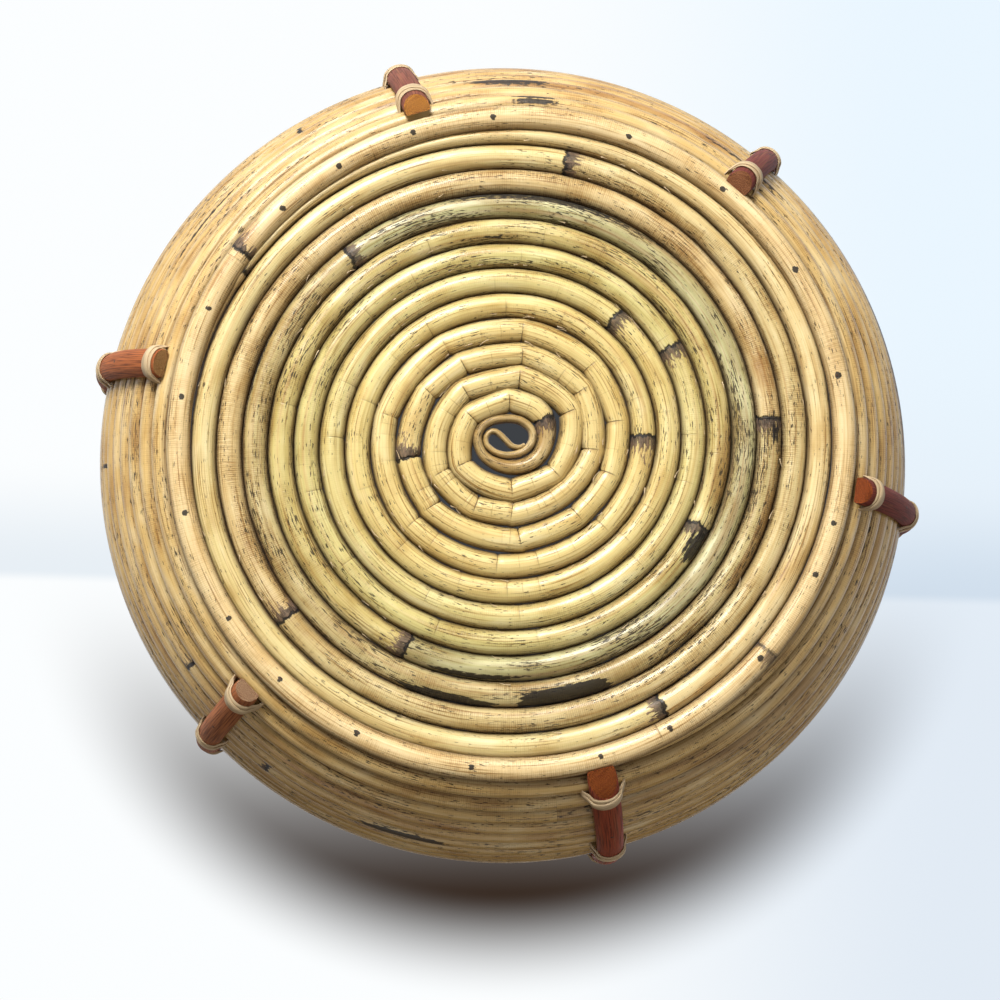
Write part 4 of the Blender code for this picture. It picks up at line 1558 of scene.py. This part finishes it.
@dataclass(frozen=True)
class Studio:
    """The floor, the pale surroundings, the lamps and the camera."""

    left: tuple = (0.97, 0.99, 1.0)
    right: tuple = (0.76, 0.83, 0.91)
    high_right: tuple = (0.82, 0.92, 1.0)
    above_edge: tuple = (0.80, 0.85, 0.90)
    shadow: tuple = (0.030, 0.014, 0.006)
    ambient: tuple = (0.200, 0.185, 0.165)
    bounce: tuple = (0.150, 0.105, 0.060)
    room: tuple = (0.36, 0.36, 0.37)
    plain: tuple = (0.86, 0.89, 0.92)
    table: tuple = (0.84, 0.86, 0.89)
    # colour of the dark sheet that paints the shade inside the bowl
    bowl_shade: tuple = (0.050, 0.054, 0.060)
    # slant and lift of the backdrop's level edge, and the shadow's disc: middle, outer and inner
    # radius, and the stretch over which it fades upwards, all as directions
    edge_line: tuple = (0.0276, 0.0252)
    shadow_middle: tuple = (0.0391, -0.0732)
    shadow_reach: tuple = (0.2992, 0.2321)
    shadow_fade: tuple = (-0.0391, 0.174)
    lens: float = 58.5
    distance: float = 0.600
    tilt_x: float = 0.0785
    tilt_y: float = -0.036
    shift_x: float = 0.00512
    shift_y: float = 0.02306
    # name, place, side, power and colour of each lamp
    lamps: tuple = (("key_under", (-0.40, -0.95, -0.95), 0.6, 32.0, (1.0, 0.99, 0.95)),
                    ("fill_under", (0.50, 0.25, -1.20), 0.9, 3.6, (1.0, 1.0, 1.0)),
                    ("key_above", (-0.35, -0.45, 1.5), 0.7, 20.0, (1.0, 1.0, 1.0)),
                    ("fill_above", (0.45, 0.35, 1.4), 0.9, 11.0, (1.0, 1.0, 1.0)))

    def camera(self) -> None:
        """Sets the camera at the photograph's view, below the floor and nearly straight under."""
        cos_x, sin_x = math.cos(self.tilt_x), math.sin(self.tilt_x)
        cos_y, sin_y = math.cos(self.tilt_y), math.sin(self.tilt_y)
        turn = (np.array([(cos_y, 0, sin_y), (0, 1, 0), (-sin_y, 0, cos_y)])
                @ np.array([(1, 0, 0), (0, cos_x, -sin_x), (0, sin_x, cos_x)]))
        frame_turn = np.diag([1.0, -1.0, 1.0]) @ turn.T
        eye = frame_turn @ np.array([-self.shift_x, -self.shift_y, -self.distance])
        axes = frame_turn * (1, 1, -1)
        place = Matrix([(*row, spot) for row, spot in zip(axes, eye)] + [(0, 0, 0, 1)])
        data = bpy.data.cameras.new("camera")
        data.lens = self.lens
        data.sensor_width = 36.0
        data.clip_start = 0.01
        camera = placed("camera", data)
        camera.matrix_world = place
        bpy.context.scene.camera = camera

    def lamp(self, name: str, place: tuple, size: float, power: float, colour: tuple) -> None:
        """Adds a soft square lamp that looks at the basket's middle.

        Args:
            name: its name.
            place: where it hangs.
            size: its side.
            power: its power, in watts.
            colour: its colour.
        """
        data = bpy.data.lights.new(name, "AREA")
        data.size = size
        data.energy = power
        data.color = colour
        lamp = placed(name, data)
        lamp.location = place
        aim = Vector((0, 0, 0.04)) - Vector(place)
        lamp.rotation_mode = "QUATERNION"
        lamp.rotation_quaternion = aim.to_track_quat("-Z", "Y")
        lamp.visible_camera = False
        lamp.visible_glossy = place[2] < 0

    def world(self) -> None:
        """Makes the surroundings: soft grey light, and the pale backdrop that camera and gloss see.

        A direction (x, y, z) shows in the picture at (x / z, y / z). The backdrop is white to the
        left and pale blue to the right, dims a little above a faint level edge, and darkens below
        the basket into its soft shadow, the lower edge of a disc of directions.
        """
        world = bpy.data.worlds.new("surroundings")
        bpy.context.scene.world = world
        shader = Shader(world=world)
        seen = shader.ray("Camera", "Glossy", "Transmission")
        x, y, z = shader.place("Generated")
        facing = z.step(0.3, 0.6)
        across, down = x / z, y / z
        right = shader.mix(down.step(-0.20, 0.05), self.high_right, self.right)
        pale = shader.mix(across.step(0.02, 0.32), self.left, right)
        slant, lift = self.edge_line
        edge = down - across * slant + lift
        dimmed = edge.step(-0.075, -0.004) * edge.step(0.004, -0.004)
        pale = shader.stain(pale, (dimmed * 0.85, self.above_edge))
        middle_x, middle_y = self.shadow_middle
        spot = shader.distance((across - middle_x) * 0.97, down - middle_y).step(*self.shadow_reach)
        pale = shader.mix(spot * down.step(*self.shadow_fade), pale, self.shadow)
        pale = shader.mix(facing, self.plain, pale)
        under = y.step(0.20, 0.60) * z.step(-0.30, 0.20)
        far = 1.0 - shader.ray("Camera")
        pale = shader.mix(z.step(0.15, -0.15) * far, pale, self.room)
        pale = shader.mix(under * far, pale, self.bounce)
        soft = shader.mix(under, self.ambient, self.bounce)
        shader.feed(shader.surface.inputs["Color"], shader.mix(seen, soft, pale))

    def floor(self) -> None:
        """Makes the floor, which shows from above only and lets light through from below."""
        floor = plate("floor", 3.0 * np.array([(-1, -1, 0), (1, -1, 0), (1, 1, 0), (-1, 1, 0)]))
        floor.location = (0, 0, -0.0002)
        shader = Shader("pale_floor")
        behind = shader.value("ShaderNodeNewGeometry", None, None, "Backfacing")
        solid = shader.ray("Camera", "Glossy") * (1.0 - behind)
        near = shader.value("ShaderNodeBsdfDiffuse", None, {"Color": self.table})
        far = shader.value("ShaderNodeEmission", None, {"Color": self.plain})
        reach = shader.distance(*shader.place("Object")[:2]).step(0.30, 1.30)
        pale = shader.value("ShaderNodeMixShader", None, {0: reach, 1: near, 2: far})
        floor.data.materials.append(shader.show(solid, pale))

    def shade(self, plan: Plan) -> None:
        """Makes a dark sheet inside the bowl, seen through chinks in the floor from below: the
        painted shade of the bowl's inside.

        Args:
            plan: the basket's sizes.
        """
        turn = np.arange(0, 360, 7.5)
        # a dark sheet that paints the shade inside the bowl, for camera rays from below
        disc = plate("painted_bowl_shade", outward(turn) * (plan.ring_radius + 0.015) + UP * 0.05)
        shader = Shader("painted_bowl_shade")
        behind = shader.value("ShaderNodeNewGeometry", None, None, "Backfacing")
        bowl_shade = shader.value("ShaderNodeEmission", None, {"Color": self.bowl_shade})
        disc.data.materials.append(shader.show(shader.ray("Camera") * (1.0 - behind), bowl_shade))

    def build(self, plan: Plan) -> None:
        """Makes the whole studio.

        Args:
            plan: the basket's sizes.
        """
        bpy.context.scene.view_settings.view_transform = "Standard"
        self.camera()
        self.world()
        self.floor()
        self.shade(plan)
        for lamp in self.lamps:
            self.lamp(*lamp)


def main() -> None:
    """Builds the studio and the basket."""
    logging.basicConfig(level=logging.INFO, format="%(name)s: %(message)s")
    plan = Plan()
    workshop = Workshop()
    Studio().build(plan)
    for part in (FloorCoil, FootRing, Wall, Ribs, Straps, Splinters):
        part(plan, workshop).build()


if __name__ == "__main__":
    main()
